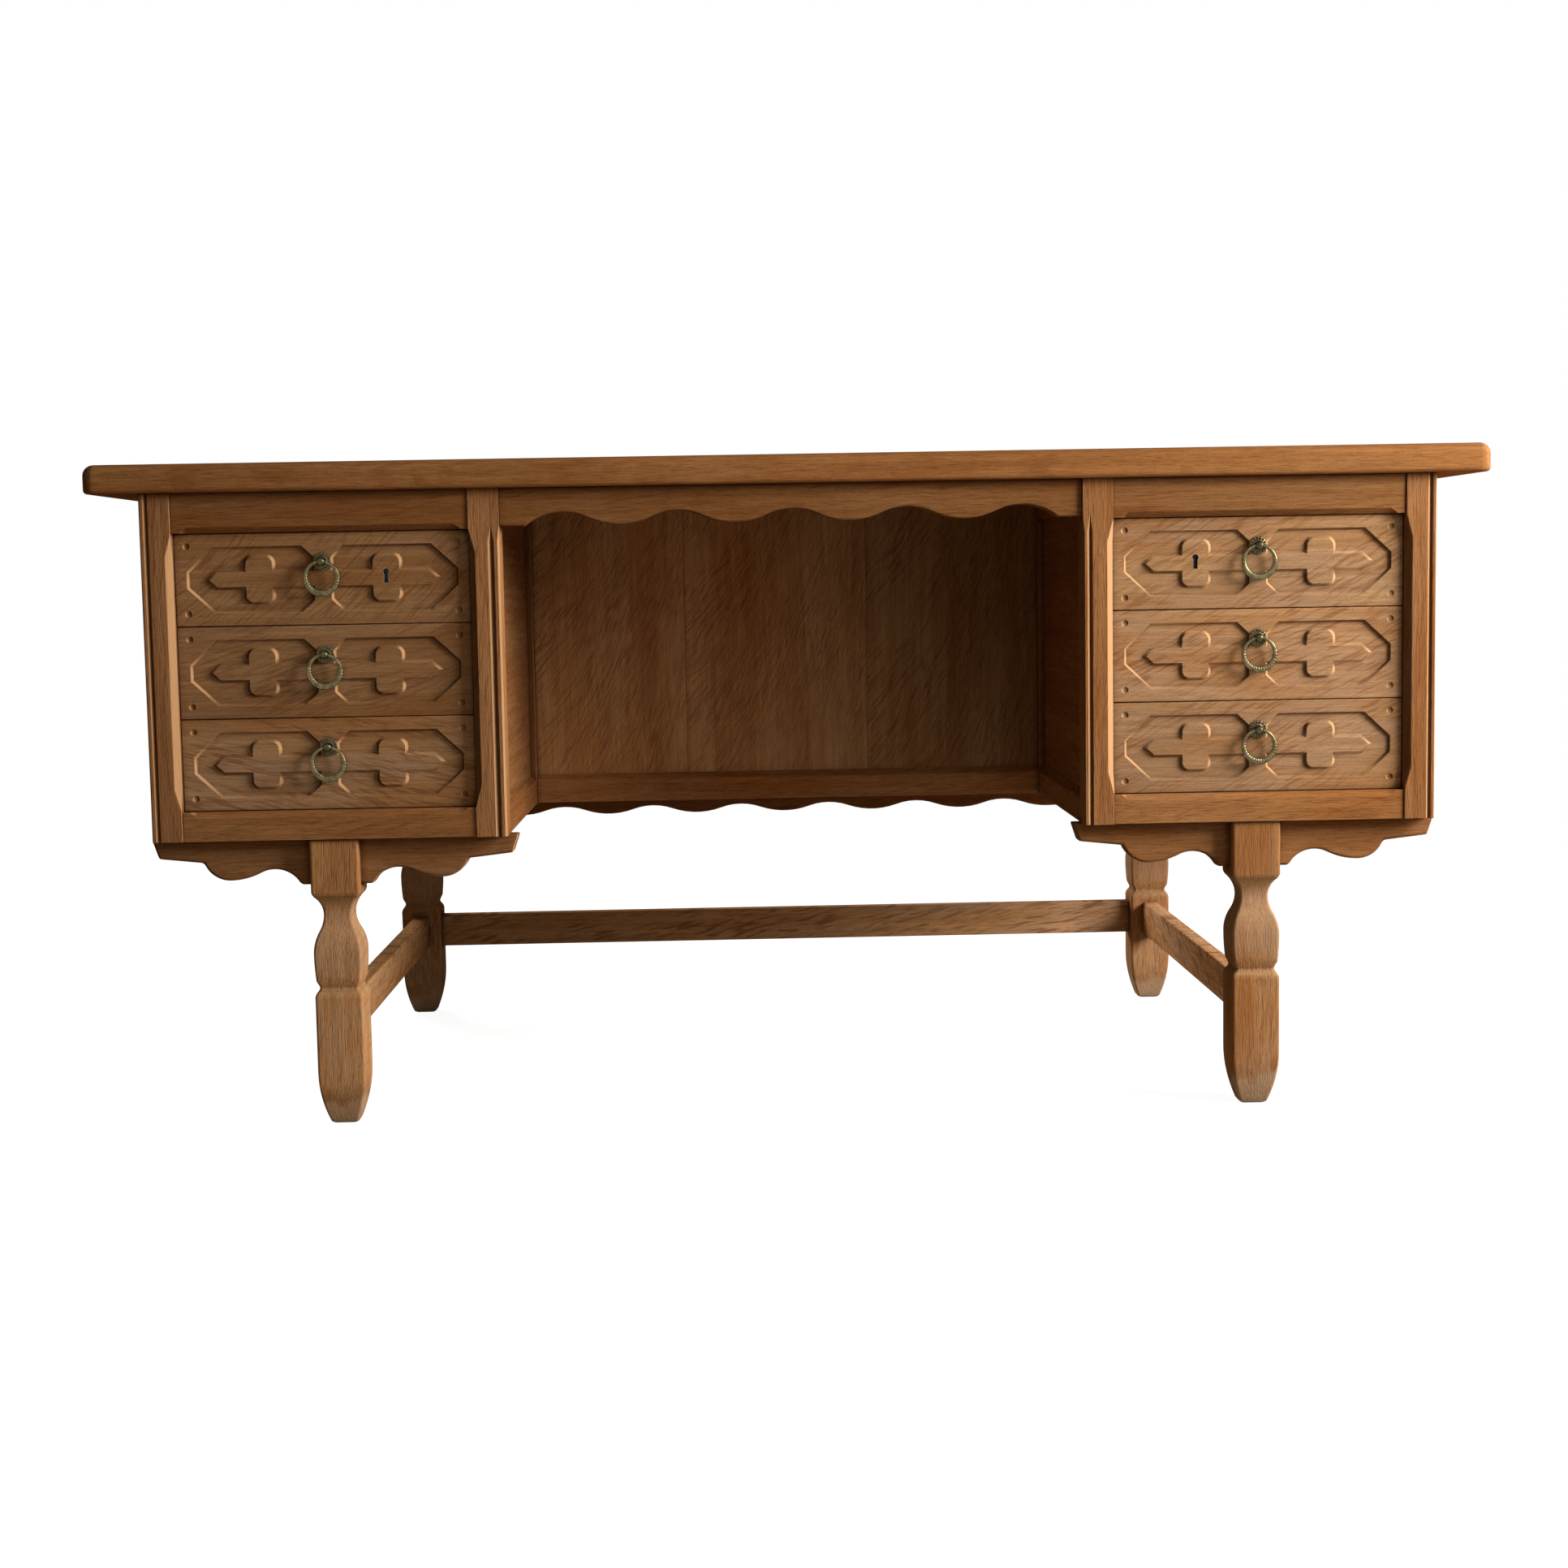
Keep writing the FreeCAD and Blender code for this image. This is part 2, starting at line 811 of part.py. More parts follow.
def drawer_runners():
    """Strips between the posts that reach into the grooved drawer sides."""
    tip = box_half_width - size.runner_bite
    inner = (pedestal_inner + panel_back_depth, pedestal_centre - tip)
    outer = (pedestal_centre + tip, outer_frame_face - panel_back_depth)
    strips = []
    for word, side in SIDES.items():
        for name, level in LEVELS.items():
            low = drawer_height(level) - size.runner_height / 2
            for part, (near, far) in (("inner", inner), ("outer", outer)):
                strips.append(
                    board(
                        f"{word}_{name}_{part}_runner",
                        mirrored_range(side, near, far),
                        (-post_back, post_back),
                        (low, low + size.runner_height),
                    )
                )
    node(group("drawer_runners", strips))


def kneehole_apron():
    """Five arches between four lobes, with short flats at the posts."""
    body = new_body("kneehole_apron")
    step = kneehole_width * size.apron_period_share / 2
    high = pedestal_top - size.apron_crest_height
    low = pedestal_top - size.apron_lobe_height
    swing = high - low
    both = wave_radius(step, swing)
    crest_radius = both * size.apron_crest_share
    lobe_radius = both - crest_radius
    outer_crest = step * APRON_HALF_WAVES
    flat = outer_crest + reach(crest_radius, swing)
    back = -pedestal_face + size.apron_setback + size.apron_thickness
    corners = [(-pedestal_inner, pedestal_top), (-pedestal_inner, low), (-flat, low)]
    corners += wave(
        -outer_crest, step, APRON_HALF_WAVES * 2, high, low, crest_radius, lobe_radius, True
    )
    corners += [(flat, low, crest_radius, -1), (pedestal_inner, low), (pedestal_inner, pedestal_top)]
    front = size.apron_setback - pedestal_face
    extrude(body, "kneehole_apron_board", "XZ_Plane", front, back, corners)
    chosen = lies_at("y", front)
    dress(
        body,
        "kneehole_apron_easing",
        "Chamfer",
        size.edge_easing,
        lambda edge: chosen(edge) and edge.BoundBox.ZMax < pedestal_top.value - SAME
        and edge.BoundBox.XLength > SAME,
    )
    node(body)


def modesty_panel():
    """Three boards glued edge to edge, standing in the bevelled rail."""
    depth = (modesty_face + size.panel_recess, modesty_back)
    joints = [
        -pedestal_inner,
        kneehole_width * size.modesty_left_joint_share - pedestal_inner,
        kneehole_width * size.modesty_right_joint_share - pedestal_inner,
        pedestal_inner,
    ]
    boards = [
        board(f"modesty_board_{number}", pair, depth, (panel_bottom, pedestal_top))
        for number, pair in enumerate(zip(joints, joints[1:]), start=1)
    ]
    node(group("modesty_panel", boards))
    section = frame_section(modesty_face, 1, size.pedestal_bottom, 1, size.frame_thickness)
    node(frame_rail("modesty_rail", "YZ_Plane", -pedestal_inner, pedestal_inner, section))


def bookcase():
    """Open bay behind the modesty panel: floor, shelf and the rail under the top."""
    width = (-pedestal_inner, pedestal_inner)
    floor_top = size.pedestal_bottom + size.bookcase_board
    shelf = floor_top + size.bookcase_shelf_rise
    rail_front = rail_face - size.frame_thickness
    behind_rail = modesty_face + size.frame_thickness
    pieces = [
        board("bookcase_floor", width, (behind_rail, rail_face), (size.pedestal_bottom, floor_top)),
        board("bookcase_shelf", width, (modesty_back, rail_front), (shelf, shelf + size.bookcase_board)),
        board(
            "bookcase_rail",
            width,
            (rail_front, rail_face),
            (pedestal_top - size.bookcase_rail_height, pedestal_top),
        ),
    ]
    node(group("bookcase_boards", pieces))


def bearer_depths():
    """Heights of the bearer's lower edge, measured down from the pedestal."""
    names = ("end", "shoulder", "lobe", "crest", "foot")
    return {name: size.pedestal_bottom - getattr(size, f"bearer_{name}_depth") for name in names}


def bearer_outer_half(middle):
    """Lower edge from the outer end at -X as far as the flat where the leg stands."""
    depth = bearer_depths()
    swing = depth["crest"] - depth["lobe"]
    step = size.bearer_lobe_offset - size.bearer_crest_offset
    inner_radius = wave_radius(step, swing) - size.bearer_crest_radius
    share = size.bearer_crest_radius / wave_radius(step, swing)
    lobe = middle - size.bearer_lobe_offset
    crest = middle - size.bearer_crest_offset
    end = middle - size.pedestal_width / 2 - size.bearer_overhang
    shoulder = lobe - reach(size.bearer_lobe_radius, depth["shoulder"] - depth["lobe"])
    foot = crest + reach(size.bearer_crest_radius, depth["crest"] - depth["foot"])
    return [
        (end, size.pedestal_bottom),
        (end + size.bearer_end_slant, depth["end"]),
        (shoulder, depth["shoulder"]),
        (lobe, depth["lobe"], size.bearer_lobe_radius, 1),
        (crest - step * share, depth["crest"] - swing * share, inner_radius, 1),
        (foot, depth["foot"], size.bearer_crest_radius, -1),
    ]


def mirror_corners(corners, middle):
    """The other half of a symmetrical lower edge, in running order."""
    half = []
    for index in range(len(corners) - 1, -1, -1):
        across, up = corners[index][:2]
        arc = corners[index + 1][2:] if index + 1 < len(corners) else ()
        half.append((middle * 2 - across, up) + tuple(arc))
    return half


def bearer(label, middle):
    """Scalloped board under the carcass, held in the forked tops of the legs."""
    half = bearer_outer_half(middle)
    depth_line = -leg_depth_line
    body = new_body(label)
    extrude(
        body,
        f"{label}_board",
        "XZ_Plane",
        depth_line - size.bearer_thickness / 2,
        depth_line + size.bearer_thickness / 2,
        half + mirror_corners(half, middle),
    )
    soften_bearer(body, label, depth_line - size.bearer_thickness / 2)
    node(body)


def soften_bearer(body, label, face):
    """Rounds the lower end corners, then eases the lower edges of the face."""
    depth = bearer_depths()["end"]
    across = runs_along("y")
    dress(
        body,
        f"{label}_end_round",
        "Fillet",
        size.bearer_end_radius,
        lambda edge: across(edge) and abs(edge.CenterOfMass.z - depth.value) < SAME,
    )
    on_face = lies_at("y", face)
    top = size.pedestal_bottom.value
    dress(
        body,
        f"{label}_easing",
        "Chamfer",
        size.edge_easing,
        lambda edge: on_face(edge) and edge.BoundBox.ZMin < top - SAME,
    )


def rear_bearer():
    """One board right across the back: as the front bearers outside, a steady wave between the legs."""
    label = "rear_bearer"
    depth = bearer_depths()
    outer = bearer_outer_half(-leg_line)
    high = size.pedestal_bottom - size.rear_wave_crest_depth
    low = depth["lobe"]
    crest = size.bearer_crest_offset - leg_line
    step = -crest / (REAR_HALF_WAVES + size.rear_wave_link_share)
    both = wave_radius(step, high - low)
    crest_radius = both * size.rear_wave_crest_share
    lobe_radius = both - crest_radius
    first_lobe = -(step * REAR_HALF_WAVES)
    swing = depth["crest"] - low
    link = wave_radius(first_lobe - crest, swing)
    share = size.bearer_crest_radius / link
    foot = crest - reach(size.bearer_crest_radius, depth["crest"] - depth["foot"])
    half = outer + [
        (foot, depth["foot"]),
        (
            crest + (first_lobe - crest) * share,
            depth["crest"] - swing * share,
            size.bearer_crest_radius,
            -1,
        ),
        (first_lobe, low, link - size.bearer_crest_radius, 1),
    ]
    middle = wave(
        first_lobe, step, REAR_HALF_WAVES * 2, high, low, crest_radius, lobe_radius, False
    )
    far_lobe = (-first_lobe, low, lobe_radius, 1)
    corners = half + middle + [far_lobe] + mirror_corners(half, as_size(0))[1:]
    body = new_body(label)
    extrude(
        body,
        f"{label}_board",
        "XZ_Plane",
        leg_depth_line - size.bearer_thickness / 2,
        leg_depth_line + size.bearer_thickness / 2,
        corners,
    )
    soften_bearer(body, label, leg_depth_line - size.bearer_thickness / 2)
    node(body)


def leg_profile():
    """Half outline of a leg from the top down: half width and height, with the arcs between."""
    block = size.leg_width / 2
    neck = size.leg_neck_width / 2
    belly = size.leg_belly_width / 2
    notch = size.leg_notch_width / 2
    foot = size.leg_foot_width / 2
    swing = belly - neck
    step = size.leg_belly_drop
    upper_cove = wave_radius(size.leg_neck_drop, block - neck)
    both = wave_radius(step, swing)
    cove = size.leg_cove_share
    shoulder = belly - size.leg_belly_radius + root(
        size.leg_belly_radius * size.leg_belly_radius - size.leg_shoulder_drop * size.leg_shoulder_drop
    )
    taper = wave_radius(size.leg_taper_height, belly - foot)
    bevel = size.leg_foot_bevel
    above = root(taper * taper - (size.leg_taper_height - bevel) * (size.leg_taper_height - bevel))
    ankle = belly - taper + above
    return [
        (block, size.pedestal_bottom),
        (block, leg_block_bottom),
        (neck, leg_neck, upper_cove, 1),
        (neck + swing * cove, leg_neck - step * cove, both * cove, 1),
        (belly, leg_belly, both - both * cove, -1),
        (shoulder, leg_shoulder, size.leg_belly_radius, -1),
        (notch, leg_notch),
        (belly, leg_lower_top, size.leg_lower_radius, -1),
        (belly, size.leg_taper_height),
        (ankle, bevel, taper, -1),
        (foot - bevel, 0),
    ]


def leg_pattern():
    """Square leg: the same outline on both pairs of faces, a fork for the bearer at its top."""
    label = "leg_pattern"
    body = new_body(label)
    half = leg_profile()
    outline = half + mirror_corners(half, as_size(0))
    width = size.leg_width / 2
    extrude(body, f"{label}_blank", "XZ_Plane", -width, width, outline)
    sketch = new_sketch(body, f"{label}_depth_outline", "YZ_Plane")
    draw(sketch, outline)
    outside = size.leg_width
    draw(
        sketch,
        [(-outside, -outside), (outside, -outside), (outside, outside + size.pedestal_bottom),
         (-outside, outside + size.pedestal_bottom)],
    )
    pocket = body.newObject("PartDesign::Pocket", f"{label}_depth")
    pocket.Profile = sketch
    pocket.Type = "ThroughAll"
    pocket.SideType = "Symmetric"
    fork = size.bearer_thickness / 2
    cut(
        body,
        f"{label}_fork",
        "YZ_Plane",
        -width,
        width,
        rectangle(-fork, fork, bearer_depths()["foot"], size.pedestal_bottom),
    )
    return body


def leg(pattern, label, side, end):
    body = copy_of(pattern, label)
    bind(body, "Placement.Base.x", side * leg_line)
    bind(body, "Placement.Base.y", end * leg_depth_line)
    node(body)


def stretchers():
    half = size.stretcher_thickness / 2
    reach_in = leg_depth_line - size.leg_belly_width / 2
    top = leg_lower_top - size.stretcher_drop
    z_range = (top - size.stretcher_height, top)
    pair = []
    for word, side in SIDES.items():
        x_range = (side * leg_line - half, side * leg_line + half)
        pair.append(eased_bar(f"{word}_side_stretcher", "XZ_Plane", x_range, (-reach_in, reach_in), z_range))
    node(group("side_stretchers", pair))
    across = leg_line - size.leg_belly_width / 2
    y_range = (leg_depth_line - half, leg_depth_line + half)
    node(eased_bar("rear_stretcher", "YZ_Plane", y_range, (-across, across), z_range))


def eased_bar(label, role, width, length, height):
    """A bar with its long edges eased."""
    body = new_body(label)
    extrude(body, f"{label}_blank", role, length[0], length[1], rectangle(*width, *height))
    axis = "y" if role == "XZ_Plane" else "x"
    dress(body, f"{label}_easing", "Chamfer", size.edge_easing, runs_along(axis))
    return body


def place_on_drawer(item, side, level, ahead=0):
    """Puts a piece at the middle of a drawer front, ahead of the face."""
    bind(item, "Placement.Base.x", side * pedestal_centre)
    bind(item, "Placement.Base.y", -front_face - ahead)
    bind(item, "Placement.Base.z", drawer_height(level))


def field_outline(side):
    """Recessed field between the corner dimples on one half of a front."""
    wide, high = front_half_width * side, -(front_height / 2)
    return [
        (wide * size.field_waist_share, high * size.field_waist_height_share),
        (wide * size.field_inner_corner_share, high * size.field_height_share),
        (wide * size.field_corner_share, high * size.field_height_share),
        (wide * size.field_tip_share, high * size.field_tip_height_share),
    ]


def bar_outline(side):
    """Lower edge of the raised bar from its tip to the waist, round the lower cross arm."""
    bar = front_height / 2 * size.bar_height_share
    arm = front_half_width * size.cross_width_share
    near, far = cross_offset - arm, cross_offset + arm
    low, soft = front_height / 2 * size.cross_height_share, size.cross_corner_radius
    half = [
        (front_half_width * size.bar_tip_share, 0),
        (front_half_width * size.bar_shoulder_share, -bar),
        (far, -bar),
        (far, soft - low),
        (far - soft, -low, soft, -side),
        (near + soft, -low),
        (near, soft - low, soft, -side),
        (near, -bar),
        (front_half_width * size.field_waist_share, -bar),
    ]
    return [(side * corner[0],) + corner[1:] for corner in half]


def half_field(side):
    """One recess outline: round the field and back round the bar with its cross, tip to waist."""
    lower = field_outline(side)
    figure = bar_outline(side)
    upper = [(across, -up) for across, up in reversed(lower)]
    upper_figure = []
    for index in range(len(figure) - 1, 0, -1):
        across, up = figure[index][:2]
        arc = figure[index + 1][2:] if index + 1 < len(figure) else ()
        upper_figure.append((across, -up) + arc)
    return lower + upper + upper_figure + figure


def front_pattern():
    """Carved front: two recessed fields round a raised bar with two crosses, a dimple in each corner."""
    label = "drawer_front_pattern"
    body = new_body(label)
    half_x, half_z = front_half_width, front_height / 2
    thickness = front_face - post_back
    plan = rectangle(-half_x, half_x, -half_z, half_z)
    extrude(body, f"{label}_blank", "XZ_Plane", as_size(0), thickness, plan)
    dress(body, f"{label}_easing", "Fillet", size.front_easing, lies_at("y", as_size(0)))
    sketch = new_sketch(body, f"{label}_carving_outline", "XZ_Plane")
    for half in HANDS:
        draw(sketch, half_field(half))
        for up in HANDS:
            draw_circle(
                sketch,
                (front_half_width - size.dimple_inset) * half,
                (front_height / 2 - size.dimple_inset) * up,
                size.dimple_diameter / 2,
            )
    pocket = body.newObject("PartDesign::Pocket", f"{label}_carving")
    pocket.Profile = sketch
    bind(pocket, "Length", size.carving_depth)
    bind(pocket, "TaperAngle", -size.carving_slope)
    return body


def drawer_front(pattern, word, side, name, level):
    """A carved front; the top ones have a keyhole and the seat of a lock."""
    label = f"{word}_{name}_drawer_front"
    body = copy_of(pattern, label)
    if name == "top":
        lock_seat(body, label, side)
    place_on_drawer(body, side, level)
    node(body)


bolt_middle = -post_back - size.lock_depth / 2


def lock_seat(body, label, side):
    """The keyhole through the cross, and the seat for the lock let into the back of the front."""
    keyhole = -side * cross_offset
    thickness = front_face - post_back
    slot = size.keyhole_slot_width / 2
    eye = size.keyhole_diameter / 2
    drop = root(eye * eye - slot * slot)
    centre = size.keyhole_slot_length / 2
    cut(
        body,
        f"{label}_keyhole",
        "XZ_Plane",
        as_size(0),
        thickness,
        [
            (keyhole - slot, -centre),
            (keyhole + slot, -centre),
            (keyhole + slot, centre - drop),
            (keyhole, centre + eye, eye, 1),
            (keyhole - slot, centre - drop, eye, 1),
        ],
    )
    half = size.lock_width / 2 + size.lock_play
    cut(
        body,
        f"{label}_lock_seat",
        "XZ_Plane",
        thickness - size.lock_depth - size.lock_play,
        thickness,
        rectangle(keyhole - half, keyhole + half, -size.lock_foot - size.lock_play, front_height / 2),
    )


def drawer_box(word, side, name, level):
    """Two grooved sides, a back and a floor let into the sides."""
    label = f"{word}_{name}_drawer_box"
    middle = side * pedestal_centre
    height = drawer_height(level)
    low = height - front_height / 2 + size.box_foot_gap
    high = height + front_height / 2 - size.box_head_gap
    front, back = -post_back, post_back - size.box_end_gap
    floor_low = low + size.box_floor_rise
    floor_high = floor_low + size.box_floor_thickness
    runner_top = height + size.runner_height / 2
    runner_low = height - size.runner_height / 2 - size.runner_play
    bite = size.runner_bite + size.runner_tip_gap
    inner = box_half_width - size.box_side_thickness
    slot = inner + size.box_floor_groove
    pieces = []
    for part, hand in SIDES.items():
        section = [
            (box_half_width, low),
            (box_half_width, runner_low),
            (box_half_width - bite, runner_low),
            (box_half_width - bite, runner_top),
            (box_half_width, runner_top),
            (box_half_width, high),
            (inner, high),
            (inner, floor_high),
            (slot, floor_high),
            (slot, floor_low),
            (inner, floor_low),
            (inner, low),
        ]
        corners = [(middle + hand * across, up) for across, up in section]
        pieces.append(frame_rail(f"{word}_{name}_box_{part}_side", "XZ_Plane", front, back, corners))
    pieces.append(
        board(
            f"{word}_{name}_box_back",
            (middle - inner, middle + inner),
            (back - size.box_back_thickness, back),
            (floor_high, high),
        )
    )
    pieces.append(
        board(
            f"{word}_{name}_box_floor",
            (middle - slot, middle + slot),
            (front, back),
            (floor_low, floor_high),
        )
    )
    node(group(label, pieces))


# The knob's bore lies in the middle of the ring's thin top
knob_height = (size.ring_diameter / 2 + size.ring_bore / 2 + size.ring_bore_shift) / 2


def knob_pattern():
    """Turned rosette, neck and ball in one; the ball is bored across for the ring."""
    label = "pull_knob_pattern"
    body = new_body(label)
    rosette, neck, ball = size.rosette_diameter / 2, size.neck_diameter / 2, size.knob_diameter / 2
    rim, plate = size.rosette_rim, size.rosette_thickness
    joint = size.knob_reach - root(ball * ball - neck * neck)
    sketch = new_sketch(body, f"{label}_outline", "YZ_Plane")
    draw(
        sketch,
        [
            (0, 0),
            (-size.knob_reach - ball, 0),
            (-size.knob_reach, ball, ball, -1),
            (-joint, neck, ball, -1),
            (-plate, neck),
            (-plate, rosette - rim),
            (0, rosette),
        ],
    )
    turning = body.newObject("PartDesign::Revolution", f"{label}_turning")
    turning.Profile = sketch
    turning.ReferenceAxis = (sketch, ["H_Axis"])
    bore = new_sketch(body, f"{label}_bore_outline", "YZ_Plane")
    draw_circle(bore, -size.knob_reach, 0, size.ring_hole_diameter / 2)
    pocket = body.newObject("PartDesign::Pocket", f"{label}_bore")
    pocket.Profile = bore
    pocket.Type = "ThroughAll"
    pocket.SideType = "Symmetric"
    return body


def pull_knob(pattern, word, side, name, level):
    body = copy_of(pattern, f"{word}_{name}_pull_knob")
    place_on_drawer(body, side, level)
    bind(body, "Placement.Base.z", drawer_height(level) + knob_height)
    node(body)


def ring_pattern():
    """Ring with an eccentric bore, thin where it passes through the knob and thick at the bottom."""
    label = "pull_ring_pattern"
    body = new_body(label)
    sketch = new_sketch(body, f"{label}_outline", "XZ_Plane")
    draw_circle(sketch, 0, 0, size.ring_diameter / 2)
    draw_circle(sketch, 0, size.ring_bore_shift, size.ring_bore / 2)
    pad = body.newObject("PartDesign::Pad", f"{label}_blank")
    pad.Profile = sketch
    pad.SideType = "Symmetric"
    bind(pad, "Length", size.ring_thickness)
    dress(
        body, f"{label}_easing", "Chamfer", size.ring_chamfer, lambda edge: len(edge.Vertexes) == 1
    )
    return body


def pull_ring(pattern, word, side, name, level):
    body = copy_of(pattern, f"{word}_{name}_pull_ring")
    place_on_drawer(body, side, level, size.knob_reach)
    node(body)


def drawer_lock(word, side):
    """Lock case flush with the back of the front, and its bolt, drawn in."""
    middle = side * (pedestal_centre - cross_offset)
    height = drawer_height(LEVELS["top"])
    play = size.lock_play
    half = size.lock_width / 2
    top = height + front_height / 2
    case = new_body(f"{word}_drawer_lock")
    front = -post_back - size.lock_depth
    plan = rectangle(middle - half, middle + half, front, -post_back)
    extrude(case, f"{word}_drawer_lock_case", "XY_Plane", height - size.lock_foot, top, plan)
    bolt_half = size.bolt_width / 2
    bolt_deep = size.bolt_thickness / 2
    cut(
        case,
        f"{word}_drawer_lock_channel",
        "XY_Plane",
        top - size.bolt_length - play * 2,
        top,
        rectangle(
            middle - bolt_half - play,
            middle + bolt_half + play,
            bolt_middle - bolt_deep - play,
            bolt_middle + bolt_deep + play,
        ),
    )
    node(case)
    node(
        board(
            f"{word}_lock_bolt",
            (middle - bolt_half, middle + bolt_half),
            (bolt_middle - bolt_deep, bolt_middle + bolt_deep),
            (top - size.bolt_length - play, top - play),
        )
    )


def build():
    desk_top()
    square_leg = leg_pattern()
    for word, side in SIDES.items():
        outer_front_post(word, side)
        inner_front_post(word, side)
        rear_posts(word, side)
        front_rails(word, side)
        side_frames(word, side)
        back_frame(word, side)
        bearer(f"{word}_front_bearer", side * leg_line)
        leg(square_leg, f"{word}_front_leg", side, -1)
        leg(square_leg, f"{word}_rear_leg", side, 1)
    pedestal_floors()
    drawer_runners()
    kneehole_apron()
    modesty_panel()
    bookcase()
    rear_bearer()
    stretchers()
    front, knob, ring = front_pattern(), knob_pattern(), ring_pattern()
    for word, side in SIDES.items():
        for name, level in LEVELS.items():
            drawer_front(front, word, side, name, level)
            drawer_box(word, side, name, level)
            pull_knob(knob, word, side, name, level)
            pull_ring(ring, word, side, name, level)
        drawer_lock(word, side)


def write_out():
    """Checks every object, then writes each sub-part under its label."""
    document.recompute()
    for item in document.Objects:
        if "Invalid" in item.State or "Error" in item.State:
            raise RuntimeError(f"{item.Label} failed: {item.State}")
    for item in nodes:
        if item.Shape.isNull() or not item.Shape.isValid():
            raise RuntimeError(f"{item.Label} has no valid shape")
    os.makedirs("parts", exist_ok=True)
    for item in nodes:
        item.Shape.exportStep(f"parts/{item.Label}.step")
    print(len(nodes), "sub-parts")


build()
write_out()
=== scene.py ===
import json
import math

import bmesh
import bpy
from bpy.props import FloatProperty, FloatVectorProperty, IntProperty, PointerProperty
from mathutils import Matrix, Vector
from mathutils.geometry import delaunay_2d_cdt


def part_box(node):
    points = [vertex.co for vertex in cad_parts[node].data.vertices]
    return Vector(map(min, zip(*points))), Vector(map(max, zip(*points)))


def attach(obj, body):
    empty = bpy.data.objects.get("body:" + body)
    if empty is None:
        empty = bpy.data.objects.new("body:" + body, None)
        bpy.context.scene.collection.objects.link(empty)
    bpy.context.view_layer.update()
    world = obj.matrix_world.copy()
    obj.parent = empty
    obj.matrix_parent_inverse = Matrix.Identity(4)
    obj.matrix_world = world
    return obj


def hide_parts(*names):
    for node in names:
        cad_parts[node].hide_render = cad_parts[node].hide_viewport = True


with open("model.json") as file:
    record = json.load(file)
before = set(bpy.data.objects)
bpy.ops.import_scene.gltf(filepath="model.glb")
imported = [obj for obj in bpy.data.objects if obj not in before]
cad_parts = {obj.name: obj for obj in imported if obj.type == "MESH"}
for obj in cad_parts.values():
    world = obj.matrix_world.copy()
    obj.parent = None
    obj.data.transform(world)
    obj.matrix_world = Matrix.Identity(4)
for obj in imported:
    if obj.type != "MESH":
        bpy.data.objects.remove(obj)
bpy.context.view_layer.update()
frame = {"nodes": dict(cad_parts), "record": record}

bl_info = {
    "name": "Oak Writing Desk",
    "version": (1, 0, 0),
    "blender": (4, 5, 0),
    "location": "3D View > Sidebar > Desk",
    "description": "Dresses the frame of a carved oak writing desk with finished wood, brass and light",
    "category": "Object",
}

MM = 0.001
SIDES = {"left": -1, "right": 1}
LEVELS = ("top", "middle", "bottom")
DRAWERS = [(side, level) for side in SIDES for level in LEVELS]
FLAT_ANGLE = math.radians(0.6)  # facets that meet flatter than this are one face
SHARP_ANGLE = math.radians(50)  # edges sharper than this stay sharp in the shading
KNOB_SHARP_ANGLE = math.radians(40)
ROUNDED_ANGLE = math.radians(35)  # edges sharper than this are rounded
CIRCLE_STEPS, ARC_STEPS, LATHE_STEPS = 20, 5, 32  # sides of a dimple, of a rounded cross corner and of a knob
NEARLY_STRAIGHT = 0.06  # squared sine of a bend between two walls that counts as none
LONGEST_CORNER = 2.2  # how far a corner may move, in widths of its wall
RIGHT_INNER_GROOVE = 0.84  # bead and groove of the right inner post against those of the left one
CHASED = {("right", "top"): 0.2}  # how much of its ridges a worn ring has kept
RING_STEPS, RING_SECTION = 170, 14  # corners around a ring and around its section
HELD_BELOW, HELD_FADE = 0.55, 0.35  # where a ring's ridges end above its middle, and how far they fade, in radii
FURROW_DEPTH = 0.3  # of the furrows between the ridges, in halves of the section
CAMERA_PLACE = (-0.0616, -2.8674, 0.6090)
CAMERA_ANGLES = (5.2, 1.1, -1.0)  # down, to the right and about its own line, in degrees
BODY_OF = {
    name: body
    for body, members in frame["record"]["behaviour"]["bodies"].items()
    for name in members
}


# Meshes


def steady_share(words):
    """A number from 0 to 1 that belongs to a name, the same on every run."""
    value = 7
    for letter in words:
        value = (value * 31 + ord(letter)) % 9973
    return value / 9973


def new_piece(name, mesh):
    piece = bpy.data.objects.new(name, mesh)
    bpy.context.scene.collection.objects.link(piece)
    return piece


def mesh_of(name, corners, faces):
    mesh = bpy.data.meshes.new(name)
    mesh.from_pydata([tuple(c) for c in corners], [], faces)
    mesh.validate()
    return mesh


def written(work, mesh):
    """Writes what was worked on into a mesh."""
    work.to_mesh(mesh)
    work.free()
    return mesh


def closed_mesh(name, corners, faces):
    """A mesh of a closed shape whose faces all look outwards."""
    mesh = mesh_of(name, corners, faces)
    work = bmesh.new()
    work.from_mesh(mesh)
    bmesh.ops.recalc_face_normals(work, faces=work.faces)
    return written(work, mesh)


def solids_of(mesh):
    """The closed solids of a CAD mesh, as lists of triangles, also where they touch."""
    numbers = {}
    places = [numbers.setdefault(tuple(round(c, 6) for c in v.co), len(numbers)) for v in mesh.vertices]
    solids, faces, unmatched = [], [], set()
    for face in mesh.polygons:
        corners = [places[index] for index in face.vertices]
        if len(set(corners)) < 3:
            continue
        faces.append(corners)
        for first, second in zip(corners, corners[1:] + corners[:1]):
            if (second, first) in unmatched:
                unmatched.discard((second, first))
            else:
                unmatched.add((first, second))
        if not unmatched:
            solids.append(faces)
            faces = []
    if faces:
        solids.append(faces)
    return list(numbers), solids


